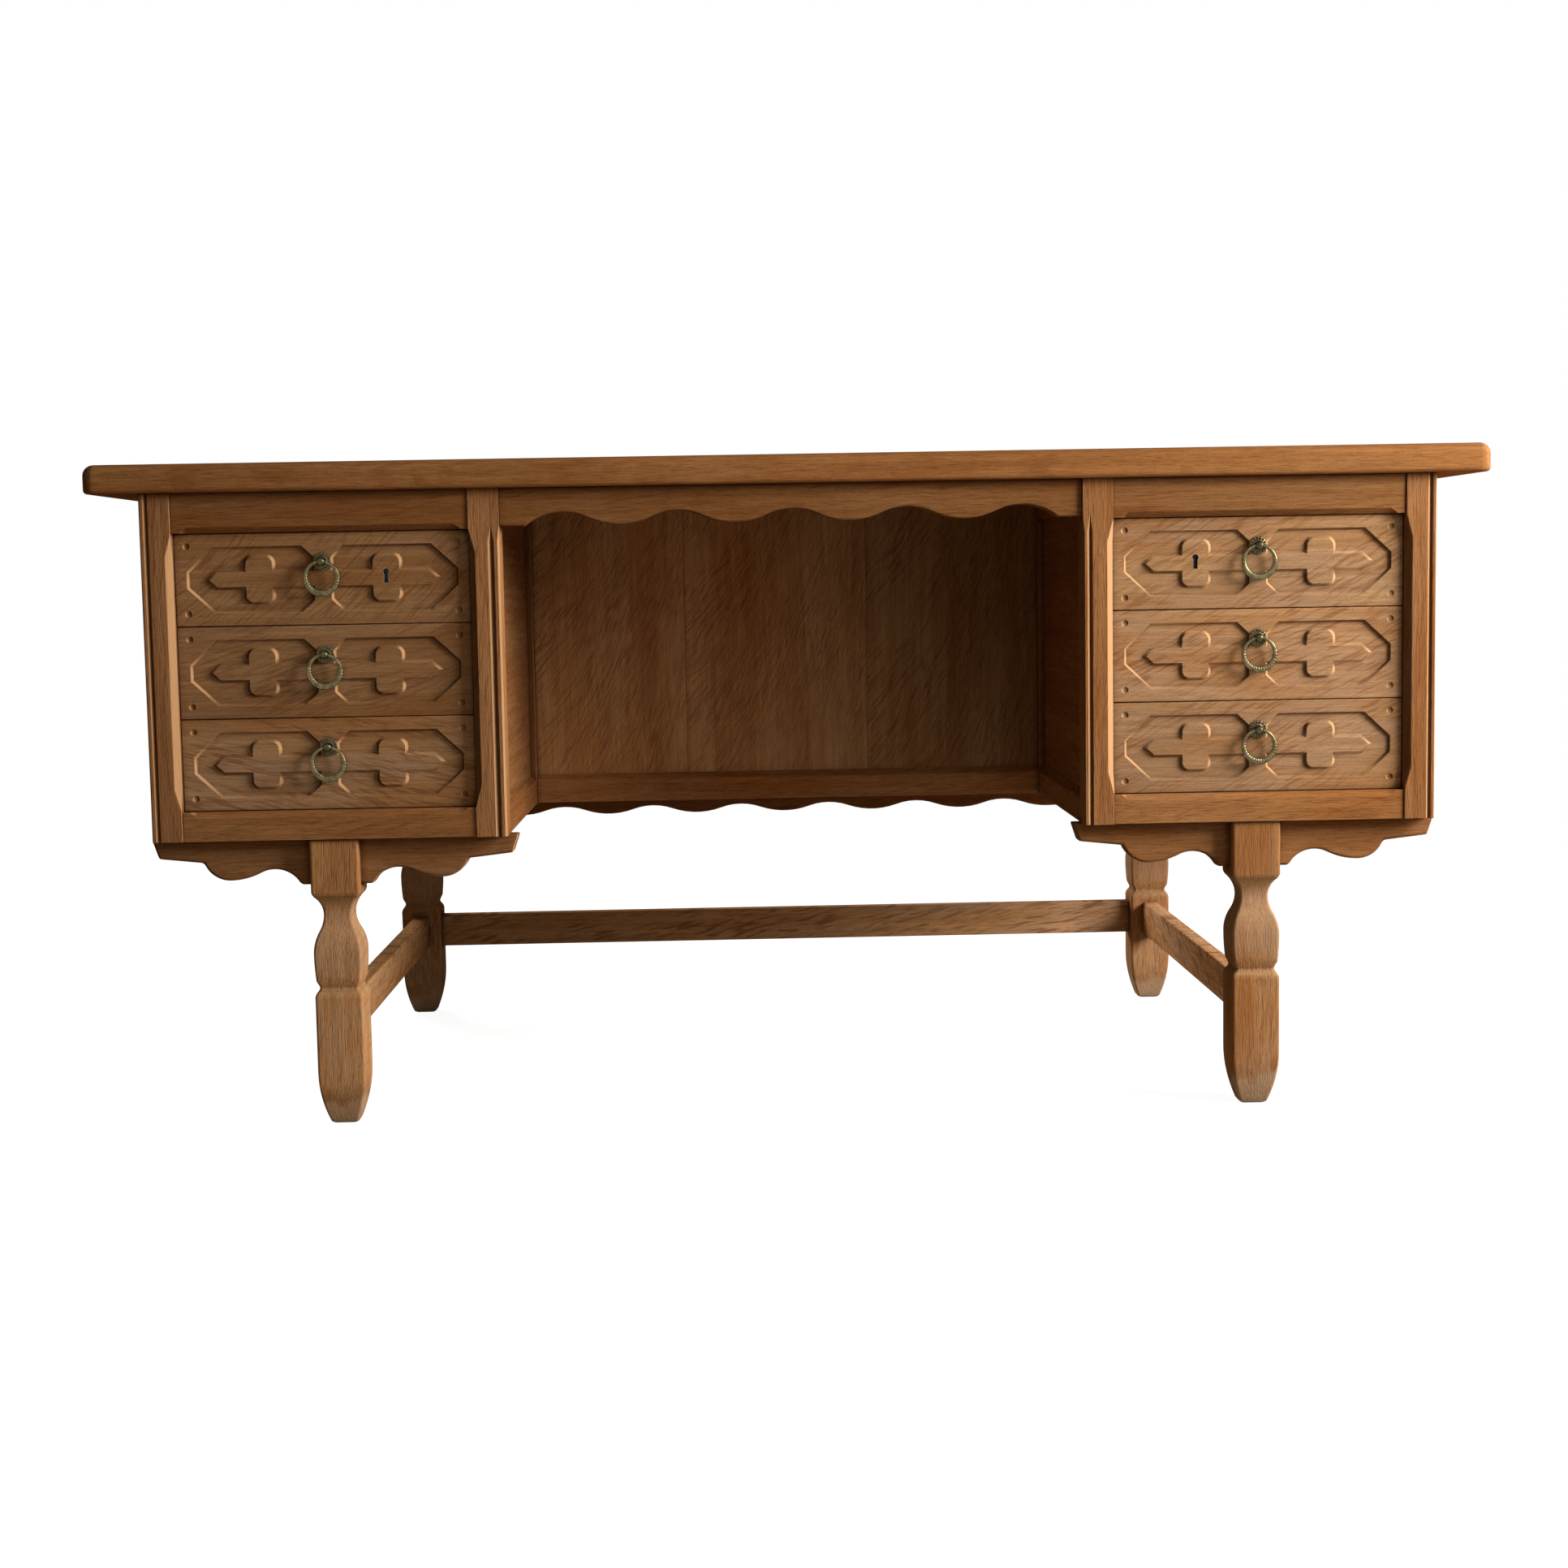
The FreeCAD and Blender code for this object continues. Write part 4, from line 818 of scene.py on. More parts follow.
def fading_and_painted_light_of(tree, kind, x, z):
    """How far a surface is bleached: legs more below and the lower fronts more; fronts and stretchers more to the
    right, which is painted light from the lamp on the right.
    """
    fading = GRAINS[kind][-1]
    if kind == "leg":
        return spread(tree, z, 0.27, 0.2, 0.25, fading)
    if kind == "stretcher":
        return spread(tree, x, -0.3, 0.1, 0.1, fading)
    if kind == "front":
        low = spread(tree, z, 0.49, 0.45, 0.0, fading)
        return calc(tree, "MAXIMUM", spread(tree, x, -0.35, 0.3, 0.1, fading), low)
    return fading


def painted_light_along(tree, kind, x, colour):
    """Painted light and shade from left to right: the modesty panel darkens to the right, where the right pedestal
    shades it, and the stretchers grow brighter to the right, with a painted shadow by the right-hand leg.
    """
    if kind == "panel":
        # Painted shade: the right pedestal shades the right part of the modesty panel
        tone = spread(tree, x, -0.1, 0.2, 1.0, 0.74)
    elif kind == "stretcher":
        # Painted shadow of the right-hand leg, just short of the stretcher's right end
        end = calc(tree, "MAXIMUM", spread(tree, x, 0.4, 0.47, 1.0, 0.55), spread(tree, x, 0.5, 0.505))
        # Painted light: brighter to the right, towards the lamp
        tone = times(tree, spread(tree, x, -0.3, 0.08, 0.78, 1.18), end)
    else:
        return colour
    return vector_calc(tree, "MULTIPLY", colour, grey(tree, tone))


def aged_leg(tree, colour, place, grain):
    """A leg's colour with a darker block above, a pale belly, flecks, cross-cut curves and a stained foot.

    The heights are in metres above the floor.
    """
    looks = bpy.context.scene.desk_wood
    z = parts_of(tree, place)[2]
    block = spread(tree, z, 0.258, 0.266)
    colour = faded_to(tree, times(tree, block, 0.33), colour, looks.stroke_oak)
    belly = times(tree, spread(tree, z, 0.165, 0.185), spread(tree, z, 0.262, 0.245))
    colour = faded_to(tree, times(tree, belly, 0.25), colour, looks.foot_oak)
    fleck = spread(tree, noise(tree, place, (420.0, 420.0, 48.0), 3.0, 0.6), 0.5, 0.64, smooth=True)
    patch = spread(tree, noise(tree, place, (17.0, 17.0, 8.0), 2.0), 0.38, 0.6, 0.1, 0.65)
    fleck = times(tree, times(tree, fleck, patch), spread(tree, z, 0.27, 0.24))
    colour = faded_to(tree, fleck, colour, looks.foot_oak)
    facing = parts_of(tree, put(tree, "ShaderNodeNewGeometry").outputs["Normal"])[grain]
    cross_cut = spread(tree, calc(tree, "ABSOLUTE", facing), 0.22, 0.75, smooth=True)
    colour = faded_to(tree, times(tree, cross_cut, 0.6), colour, looks.cut_oak)
    ragged = noise(tree, place, (26.0, 26.0, 9.0), 3.0)
    level = calc(tree, "MULTIPLY_ADD", ragged, 0.05, calc(tree, "ADD", z, -0.025))
    stain_end = spread(tree, level, 0.05, 0.034, smooth=True)
    stain = times(tree, spread(tree, level, 0.022, 0.03, smooth=True), stain_end)
    stain = times(tree, stain, spread(tree, noise(tree, place, (7.0, 7.0, 7.0), 1.0), 0.4, 0.6))
    foot = spread(tree, level, 0.034, 0.02, smooth=True)
    colour = faded_to(tree, times(tree, foot, 0.5), colour, looks.foot_oak)
    colour = faded_to(tree, times(tree, stain, 0.65), colour, looks.stroke_oak)
    scuffed = spread(tree, noise(tree, place, (30.0, 30.0, 60.0), 3.0, 0.6), 0.35, 0.65)
    scuffed = times(tree, calc(tree, "SUBTRACT", 1.0, spread(tree, z, 0.0, 0.07)), scuffed)
    return faded_to(tree, times(tree, scuffed, 0.35), colour, looks.rubbed_oak)


def wood(kind, grain, thin):
    """The oak finish of one kind, for boards whose grain and thickness run along given axes."""
    name = f"oak_{kind}_{'xyz'[grain]}{'xyz'[thin]}"
    if name in bpy.data.materials:
        return bpy.data.materials[name]
    looks = bpy.context.scene.desk_wood
    material, tree, shader = new_material(name)
    place = own_place(tree)
    parts = parts_of(tree, place)
    across = 3 - grain - thin
    board = own_value(tree, "board")
    if kind == "top":
        number = calc(tree, "FLOOR", calc(tree, "DIVIDE", parts[across], looks.plank_width))
        board = calc(tree, "FRACT", calc(tree, "MULTIPLY_ADD", number, 0.377, board))
    along = triple(tree, parts[grain], parts[across], parts[thin])
    figure = fanned(tree, parts[grain], parts[thin]) if kind == "panel" else slanted(tree, along)
    inputs = {"Board place": along, "Figure place": figure, "Board": board}
    inputs.update(zip(GRAIN_LABELS, GRAINS[kind]))
    inputs.update(tones_of(kind))
    inputs["Board contrast"] = CONTRASTS.get(kind, looks.board_contrast)
    # Bleaching, which on the fronts and stretchers grows to the right as painted light
    inputs["Fading"] = fading_and_painted_light_of(tree, kind, parts[0], parts[2])
    grainy = use_group(tree, oak_grain_group(), inputs)
    wear_and_light = use_group(tree, wear_and_painted_light_group(), {"Edge width": looks.wear_width, "Dirt reach": looks.dirt_reach})
    cut = PAINTED_WALL_LIGHT.get(kind, 0.0)
    # Rubbed edges, and on carved walls that face the lamp a painted highlight, both go to the rubbed tone
    pale = calc(tree, "MAXIMUM", times(tree, wear_and_light["Rubbed"], looks.wear), times(tree, wear_and_light["Bleached"], cut))
    # Painted light and shade along the modesty panel and the stretchers
    colour = painted_light_along(tree, kind, parts[0], grainy["Color"])
    colour = faded_to(tree, pale, colour, looks.rubbed_oak)
    # Painted shade on carved walls that face away from the lamp
    colour = faded_to(tree, times(tree, wear_and_light["Grimy"], cut * 0.7), colour, looks.dirt_and_shade_colour)
    # Old wax in the corners, with painted shade where less light reaches
    colour = faded_to(tree, times(tree, wear_and_light["Dirt"], looks.dirt), colour, looks.dirt_and_shade_colour)
    if kind == "leg":
        colour = aged_leg(tree, colour, place, grain)
    feed(tree, shader["Base Color"], colour)
    feed(tree, shader["Roughness"], grainy["Roughness"])
    shader["Specular IOR Level"].default_value = 0.0
    bump(tree, shader, 0.6, looks.grain_depth, grainy["Height"])
    return material


def brass(age=0.0):
    """Old brass; with age it loses its shine to tarnish."""
    name = "tarnished_brass" if age else "antique_brass"
    if name in bpy.data.materials:
        return bpy.data.materials[name]
    looks = bpy.context.scene.desk_pulls
    material, tree, shader = new_material(name)
    place = own_place(tree)
    wear_and_light = use_group(tree, wear_and_painted_light_group(), {"Edge width": 0.0009, "Dirt reach": 0.004})
    cloud = spread(tree, noise(tree, place, (160.0, 160.0, 160.0), 4.0, 0.6), 0.38, 0.66)
    colour = faded_to(tree, cloud, looks.brass_colour, looks.patina_colour)
    colour = faded_to(tree, times(tree, wear_and_light["Dirt"], 0.85), colour, looks.tarnish_colour)
    colour = faded_to(tree, age, colour, looks.tarnish_colour)
    colour = faded_to(tree, times(tree, wear_and_light["Rubbed"], 0.7 - age / 2), colour, looks.polished_colour)
    feed(tree, shader["Base Color"], colour)
    shader["Metallic"].default_value = 1.0
    feed(tree, shader["Roughness"], calc(tree, "MULTIPLY_ADD", cloud, 0.16, 0.3))
    pits = noise(tree, place, (900.0, 900.0, 900.0), 2.0)
    bump(tree, shader, 0.4, 0.0003, pits)
    return material


def steel():
    name = "dark_steel"
    if name in bpy.data.materials:
        return bpy.data.materials[name]
    looks = bpy.context.scene.desk_pulls
    material, tree, shader = new_material(name)
    place = own_place(tree)
    cloud = spread(tree, noise(tree, place, (90.0, 90.0, 90.0), 4.0, 0.65), 0.35, 0.65)
    brushed = noise(tree, place, (1800.0, 60.0, 60.0), 2.0)
    wear_and_light = use_group(tree, wear_and_painted_light_group(), {"Edge width": 0.001, "Dirt reach": 0.006})
    colour = faded_to(tree, cloud, looks.steel_colour, looks.rust_colour)
    colour = faded_to(tree, wear_and_light["Rubbed"], colour, (0.42, 0.4, 0.37, 1))
    feed(tree, shader["Base Color"], colour)
    shader["Metallic"].default_value = 0.9
    feed(tree, shader["Roughness"], calc(tree, "MULTIPLY_ADD", cloud, 0.25, 0.35))
    bump(tree, shader, 0.3, 0.0002, brushed)
    return material


# Carved fronts


def recess_outline(half):
    """Outline of one recessed field, counter-clockwise, in millimetres, and how wide each of its walls is."""
    carving = bpy.context.scene.desk_carving
    low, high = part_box("right_middle_drawer_front")
    wide, tall = (high.x - low.x) / 2 / MM, (high.z - low.z) / 2 / MM
    arm = wide * carving.cross_width_share
    offset = wide * carving.cross_offset_share
    near, far = offset - arm, offset + arm
    bar = tall * carving.bar_height_share
    foot = tall * carving.cross_height_share
    soft = carving.cross_corner_radius / MM
    lower = [
        Vector((wide * carving.field_waist_share, -tall * carving.field_waist_height_share)),
        Vector((wide * carving.field_inner_corner_share, -tall * carving.field_height_share)),
        Vector((wide * carving.field_corner_share, -tall * carving.field_height_share)),
        Vector((wide * carving.field_tip_share, -tall * carving.field_tip_height_share)),
    ]
    figure = [
        Vector((wide * carving.bar_tip_share, 0)),
        Vector((wide * carving.bar_shoulder_share, -bar)),
        Vector((far, -bar)),
        Vector((far, soft - foot)),
        *arc_points(Vector((far, soft - foot)), Vector((far - soft, -foot)), soft, -1),
        Vector((near + soft, -foot)),
        *arc_points(Vector((near + soft, -foot)), Vector((near, soft - foot)), soft, -1),
        Vector((near, -bar)),
        Vector((wide * carving.field_waist_share, -bar)),
    ]
    upper = [Vector((point.x, -point.y)) for point in reversed(lower)]
    upper_figure = [Vector((point.x, -point.y)) for point in reversed(figure[1:])]
    border = [(point, carving.frame_wall_share) for point in lower + upper]
    cross = [(point, carving.cross_wall_share) for point in upper_figure + figure]
    cross[-1] = (cross[-1][0], carving.frame_wall_share)
    tidy, widths = [], []
    for point, width in border + cross:
        if tidy and (point - tidy[-1]).length <= 0.05:
            widths[-1] = width
        else:
            tidy.append(point)
            widths.append(width)
    if half < 0:
        tidy = [Vector((-point.x, point.y)) for point in tidy]
    if twice_area(tidy) < 0:
        tidy.reverse()
        widths = [widths[index - 1] for index in reversed(range(len(widths)))]
    return tidy, widths


def circle_outline(centre, radius):
    angles = [2 * math.pi * step / CIRCLE_STEPS for step in range(CIRCLE_STEPS)]
    return [centre + Vector((math.cos(angle), math.sin(angle))) * radius for angle in angles]


def carved_front_mesh(name):
    """A front with both recessed fields and its four dimples, its face at zero depth."""
    carving = bpy.context.scene.desk_carving
    low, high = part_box("right_middle_drawer_front")
    wide, tall = (high.x - low.x) / 2 / MM, (high.z - low.z) / 2 / MM
    thick = (high.y - low.y) / MM
    soft = carving.edge_radius / MM
    growth = carving.edge_growth / MM
    shell = Shell()

    def rectangle(inset):
        across, up = wide + growth - inset, tall + growth - inset
        return [Vector((-across, -up)), Vector((across, -up)), Vector((across, up)), Vector((-across, up))]

    angles = [math.radians(step) for step in (0, 22.5, 45, 67.5, 90)]
    rims = [shell.loop(rectangle(soft * (1 - math.sin(a))), soft * (1 - math.cos(a))) for a in angles]
    back = shell.loop(rectangle(0), thick)
    shell.walls([*rims, back])
    shell.fill([back], [rectangle(0)])
    depth = carving.depth / MM
    run = depth * math.tan(carving.wall_slope)
    rim = carving.rim_radius / MM
    levels = [
        (-rim * 0.55, 0),
        (-rim * 0.2, rim * 0.08),
        (rim * 0.15, rim * 0.38),
        (run * 0.8, depth * 0.84),
        (run, depth * 0.97),
        (run + rim * 0.6, depth),
    ]
    pits = []
    for half in (-1, 1):
        outline, widths = recess_outline(half)
        pits.append(shell.pit([(moved_in(outline, inset, widths), deep) for inset, deep in levels]))
    radius = carving.dimple_diameter / MM / 2
    inset = carving.dimple_inset / MM
    bowl = [(1.06, 0), (1.0, 0.12), (0.86, 0.62), (0.62, 1.2), (0.34, 1.62)]
    for across in (-1, 1):
        for up in (-1, 1):
            centre = Vector(((wide - inset) * across, (tall - inset) * up))
            pits.append(shell.pit([(circle_outline(centre, radius * reach), deep) for reach, deep in bowl]))
    shell.fill([rims[0], *(loop for loop, _ in pits)], [rectangle(soft), *(outline for _, outline in pits)])
    return shell.mesh(name)


def keyhole_outline():
    """Round eye over a slot, counter-clockwise, in millimetres."""
    carving = bpy.context.scene.desk_carving
    eye = carving.keyhole_diameter / MM / 2
    slot = carving.keyhole_width / MM / 2
    centre = carving.keyhole_length / MM / 2
    begin = math.asin(-math.sqrt(eye * eye - slot * slot) / eye)
    points = [Vector((-slot, -centre)), Vector((slot, -centre))]
    count = 16
    for step in range(count + 1):
        angle = begin + (math.pi - 2 * begin) * step / count
        points.append(Vector((math.cos(angle) * eye, centre + math.sin(angle) * eye)))
    return points


def make_front(side, level, pattern):
    name = f"{side}_{level}_drawer_front"
    low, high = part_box(name)
    middle = (low + high) / 2
    piece = new_piece(f"{name}_carved", moved_mesh(pattern, (middle.x, low.y, middle.z)))
    if level == "top":
        carving = bpy.context.scene.desk_carving
        wide = (high.x - low.x) / 2
        hole = middle.x - SIDES[side] * wide * carving.cross_offset_share
        case_low, case_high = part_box(f"{side}_drawer_lock")
        play = carving.lock_play
        over = 0.01
        seat_low = (case_low.x - play, case_low.y - play, case_low.z - play)
        seat_high = (case_high.x + play, high.y + over, high.z + over)
        cut_away(piece, block_mesh(seat_low, seat_high))
        tool = Shell()
        outline = keyhole_outline()
        ahead, inside_seat = -5, (high.y - low.y) / MM - 8
        front, back = tool.loop(outline, ahead), tool.loop(outline, inside_seat)
        tool.bridge(front, back)
        tool.fill([front], [outline])
        tool.fill([back], [outline])
        cutter = tool.mesh("keyhole_cutter")
        cutter.transform(Matrix.Translation((hole, low.y, middle.z)))
        cut_away(piece, cutter)
        make_liner(side, Vector((hole, low.y, middle.z)))
    shade_evenly(piece)
    apply_modifiers(piece)
    dress_in_wood(piece, "front")
    settle(piece, BODY_OF[name], "oak", name)


def make_liner(side, place):
    """Steel liner let into the keyhole."""
    carving = bpy.context.scene.desk_carving
    wall = carving.liner_thickness / MM
    outline = keyhole_outline()
    inner = moved_in(outline, wall)
    shell = Shell()
    loops = [
        shell.loop(moved_in(outline, 0.05), 4.0),
        shell.loop(moved_in(outline, 0.05), 0.25),
        shell.loop(moved_in(outline, wall * 0.4), 0.05),
        shell.loop(inner, 0.3),
        shell.loop(inner, 4.0),
    ]
    for index, loop in enumerate(loops):
        shell.bridge(loops[index - 1], loop)
    mesh = shell.mesh(f"{side}_keyhole_liner")
    mesh.transform(Matrix.Translation(place))
    piece = new_piece(f"{side}_keyhole_liner", mesh)
    piece.data.shade_smooth()
    piece.data.materials.append(steel())
    settle(piece, f"{side}_top_drawer", "steel")


# Ring pulls


def bead_tree():
    """Geometry nodes that lay beads round a circle on the front of a piece."""
    name = "Beads round a rosette"
    if name in bpy.data.node_groups:
        return bpy.data.node_groups[name]
    tree = bpy.data.node_groups.new(name, "GeometryNodeTree")
    tree.is_modifier = True
    tree.interface.new_socket(name="Geometry", in_out="OUTPUT", socket_type="NodeSocketGeometry")
    for label, kind in (
        ("Geometry", "Geometry"),
        ("Beads", "Int"),
        ("Circle radius", "Float"),
        ("Bead radius", "Float"),
        ("Bead height", "Float"),
        ("Place", "Vector"),
        ("Seed", "Int"),
        ("Material", "Material"),
    ):
        tree.interface.new_socket(name=label, in_out="INPUT", socket_type=f"NodeSocket{kind}")
    start = tree.nodes.new("NodeGroupInput").outputs
    end = tree.nodes.new("NodeGroupOutput").inputs
    circle = put(tree, "GeometryNodeMeshCircle", {"Vertices": start["Beads"], "Radius": start["Circle radius"]})
    bead = put(tree, "GeometryNodeMeshIcoSphere", {"Radius": start["Bead radius"], "Subdivisions": 2})
    flat = triple(tree, 1.0, 1.0, start["Bead height"])
    uneven = put(tree, "FunctionNodeRandomValue", {"Seed": start["Seed"]}, data_type="FLOAT")
    uneven.inputs[2].default_value = 0.92
    uneven.inputs[3].default_value = 1.06
    scale = put(tree, "ShaderNodeVectorMath", {0: flat, 3: uneven.outputs[1]}, operation="SCALE")
    laid = put(
        tree,
        "GeometryNodeInstanceOnPoints",
        {"Points": circle.outputs[0], "Instance": bead.outputs[0], "Scale": scale.outputs[0]},
    )
    turned = put(
        tree,
        "GeometryNodeTransform",
        {"Geometry": laid.outputs[0], "Translation": start["Place"], "Rotation": (math.pi / 2, 0.0, 0.0)},
    )
    plain = put(tree, "GeometryNodeRealizeInstances", {"Geometry": turned.outputs[0]})
    smooth = put(tree, "GeometryNodeSetShadeSmooth", {0: plain.outputs[0]})
    both = tree.nodes.new("GeometryNodeJoinGeometry")
    tree.links.new(start["Geometry"], both.inputs[0])
    tree.links.new(smooth.outputs[0], both.inputs[0])
    whole = put(tree, "GeometryNodeRealizeInstances", {"Geometry": both.outputs[0]})
    painted = put(tree, "GeometryNodeSetMaterial", {"Geometry": whole.outputs[0], "Material": start["Material"]})
    tree.links.new(painted.outputs[0], end[0])
    return tree


def set_input(modifier, label, value):
    for item in modifier.node_group.interface.items_tree:
        if item.item_type == "SOCKET" and item.in_out == "INPUT" and item.name == label:
            modifier[item.identifier] = value
            return
    raise RuntimeError(f"the tree has no input named {label}")


def knob_mesh():
    """Rosette, neck and bored ball, turned about the line that runs to the front."""
    pulls = bpy.context.scene.desk_pulls
    rosette = pulls.rosette_diameter / MM / 2
    ball = pulls.knob_diameter / MM / 2
    neck = pulls.neck_diameter / MM / 2
    reach = pulls.knob_reach / MM
    plate = [(0, 0.3), (0.3, 0), (0.8, 0), (1.2, 0.5), (1.35, 2.9), (1.7, 3.5), (2.3, 4.4), (2.4, 5.4), (2.2, 6.1)]
    profile = [(0, 0), *((ahead, rosette - inset) for ahead, inset in plate), (2.4, neck + 0.6), (3.0, neck)]
    count = 14
    first = math.asin(neck / ball)
    for step in range(count + 1):
        angle = first + (math.pi - first) * step / count
        profile.append((reach - ball * math.cos(angle), ball * math.sin(angle) if step < count else 0))
    piece = new_piece("knob", lathe_mesh("knob", profile))
    work = bmesh.new()
    across = Matrix.Rotation(math.pi / 2, 4, "Y")
    hole = pulls.ring_hole_diameter / 2
    bmesh.ops.create_cone(
        work,
        cap_ends=True,
        segments=24,
        radius1=hole,
        radius2=hole,
        depth=ball * 4 * MM,
        matrix=Matrix.Translation((0, -reach * MM, 0)) @ across,
    )
    cut_away(piece, written(work, bpy.data.meshes.new("bore")))
    mesh = piece.data.copy()
    bpy.data.objects.remove(piece)
    return mesh


def make_knob(side, level, pattern):
    name = f"{side}_{level}_pull_knob"
    pulls = bpy.context.scene.desk_pulls
    low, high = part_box(name)
    middle = (low + high) / 2
    piece = new_piece(f"{name}_brass", moved_mesh(pattern, (middle.x, high.y, middle.z)))
    piece.data.shade_smooth()
    piece.data.set_sharp_from_angle(angle=KNOB_SHARP_ANGLE)
    beads = piece.modifiers.new("beads", "NODES")
    beads.node_group = bead_tree()
    inputs = {
        "Beads": pulls.rosette_beads,
        "Circle radius": pulls.rosette_diameter / 2 - pulls.bead_radius,
        "Bead radius": pulls.bead_radius,
        "Bead height": 0.9,
        "Place": (middle.x, high.y - 0.0011, middle.z),
        "Seed": int(steady_share(name) * 1000),
        "Material": brass(pulls.knob_tarnish),
    }
    for label, value in inputs.items():
        set_input(beads, label, value)
    apply_modifiers(piece)
    settle(piece, BODY_OF[name], "brass", name)


def make_ring(side, level, chased):
    """Ring that is thin in the knob and thick below, with chased ridges where it is held."""
    name = f"{side}_{level}_pull_ring"
    pulls = bpy.context.scene.desk_pulls
    low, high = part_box(name)
    middle = (low + high) / 2
    outer = (high.x - low.x) / 2
    bore = pulls.ring_bore / 2
    shift = pulls.ring_bore_shift
    deep = (high.y - low.y) / 2
    corners, faces = [], []
    for step in range(RING_STEPS):
        angle = 2 * math.pi * step / RING_STEPS
        up = math.sin(angle)
        inner = shift * up + math.sqrt(bore * bore - (shift * math.cos(angle)) ** 2)
        body_middle = (outer + inner) / 2
        half = (outer - inner) / 2
        held = max(0.0, min(1.0, (HELD_BELOW - up) / HELD_FADE))
        furrow = 1 - abs(math.cos(angle * pulls.ring_ridges / 2)) ** 0.6
        ridge = 1 - chased * held * FURROW_DEPTH * furrow
        for turn in range(RING_SECTION):
            roll = 2 * math.pi * turn / RING_SECTION
            out = math.cos(roll) * half * ridge
            ahead = math.sin(roll) * deep * ridge * (0.86 + 0.14 * held)
            radius = body_middle + out
            corners.append((middle.x + radius * math.cos(angle), middle.y - ahead, middle.z + radius * up))
    for step in range(RING_STEPS):
        here, after = step * RING_SECTION, (step + 1) % RING_STEPS * RING_SECTION
        for turn in range(RING_SECTION):
            beside = (turn + 1) % RING_SECTION
            faces.append((here + turn, after + turn, after + beside, here + beside))
    mesh = closed_mesh(name, corners, faces)
    piece = new_piece(f"{name}_brass", mesh)
    mesh.shade_smooth()
    mesh.materials.append(brass())
    settle(piece, BODY_OF[name], "brass", name)


# Settings


def length(name, description, default):
    return FloatProperty(name=name, description=description, default=default, min=0, unit="LENGTH", precision=5)


def share(name, description, default):
    return FloatProperty(name=name, description=description, default=default, min=0, max=1, subtype="FACTOR")


def colour(name, description, default):
    return FloatVectorProperty(
        name=name, description=description, default=(*default, 1), size=4, min=0, max=1, subtype="COLOR"
    )


def amount(name, description, default, unit="NONE"):
    return FloatProperty(name=name, description=description, default=default, unit=unit)


class DeskWoodSettings(bpy.types.PropertyGroup):
    """Colours, wear and edges of the oak"""

    light_oak: colour("Light oak", "Palest tone of the boards", (0.50, 0.28, 0.13))
    middle_oak: colour("Middle oak", "Main tone of the boards", (0.37, 0.162, 0.055))
    dark_oak: colour("Dark oak", "Tone of pores and strokes", (0.13, 0.042, 0.012))
    # Rubbed edges, and also the painted highlight on carved walls that face the lamp
    rubbed_oak: colour("Rubbed oak", "Tone where edges are rubbed", (0.66, 0.36, 0.17))
    stroke_oak: colour("Stroke oak", "Tone of the slanted strokes in the grain", (0.215, 0.072, 0.02))
    # Also the tone that fronts and stretchers are painted towards on the right, as painted light
    faded_oak: colour("Faded oak", "Tone of the boards where they are bleached", (0.45, 0.268, 0.148))
    foot_oak: colour("Foot oak", "Bleached tone at the feet of the legs", (0.5, 0.36, 0.24))
    cut_oak: colour("Cut oak", "Tone where a leg's curves cut across the grain", (0.47, 0.29, 0.135))
    # Old wax in the corners, also the painted shade there and on carved walls turned away from the lamp
    dirt_and_shade_colour: colour("Dirt", "Tone of old wax in the corners", (0.05, 0.022, 0.009))
    box_light: colour("Drawer wood light", "Palest tone inside the drawers", (0.62, 0.43, 0.25))
    box_middle: colour("Drawer wood", "Main tone inside the drawers", (0.48, 0.31, 0.165))
    box_dark: colour("Drawer wood dark", "Tone of pores inside the drawers", (0.25, 0.14, 0.065))
    board_contrast: share("Board contrast", "How much boards differ in tone", 0.14)
    wear: share("Wear", "How pale the rubbed edges are", 0.6)
    # Darkens the corners: old wax, and painted shade where less light reaches
    dirt: share("Dirt share", "How dark the corners are", 0.7)
    wear_width: length("Wear width", "Width of the rubbed edges", 0.0018)
    # How far the corner darkening of wax and painted shade spreads
    dirt_reach: length("Dirt reach", "How far dirt spreads from a corner", 0.009)
    groove_reach: length("Groove reach", "How far the bead and groove of a post reach in", 0.0143)
    outer_groove: share("Outer groove", "Width of the bead and groove of an outer post against the plain one", 0.68)
    inner_groove: share("Inner groove", "Width of the bead and groove of an inner post against the plain one", 0.91)
    rail_bevel: length("Rail bevel", "Bevel of the rails round the side panels", 0.008)
    grain_depth: length("Grain depth", "Depth of the pores", 0.0007)
    fan_start: amount("Fan start", "Steepness of the strokes at a panel board's side", 1.1)
    fan_growth: amount("Fan growth", "How fast the strokes stand up", 5.0)
    plank_width: length("Plank width", "Width of the planks of the top", 0.126)
    edge_softness: length("Edge softness", "Rounding of the joinery's edges", 0.0009)
    leg_softness: length("Leg softness", "Rounding of the edges of the legs", 0.0034)


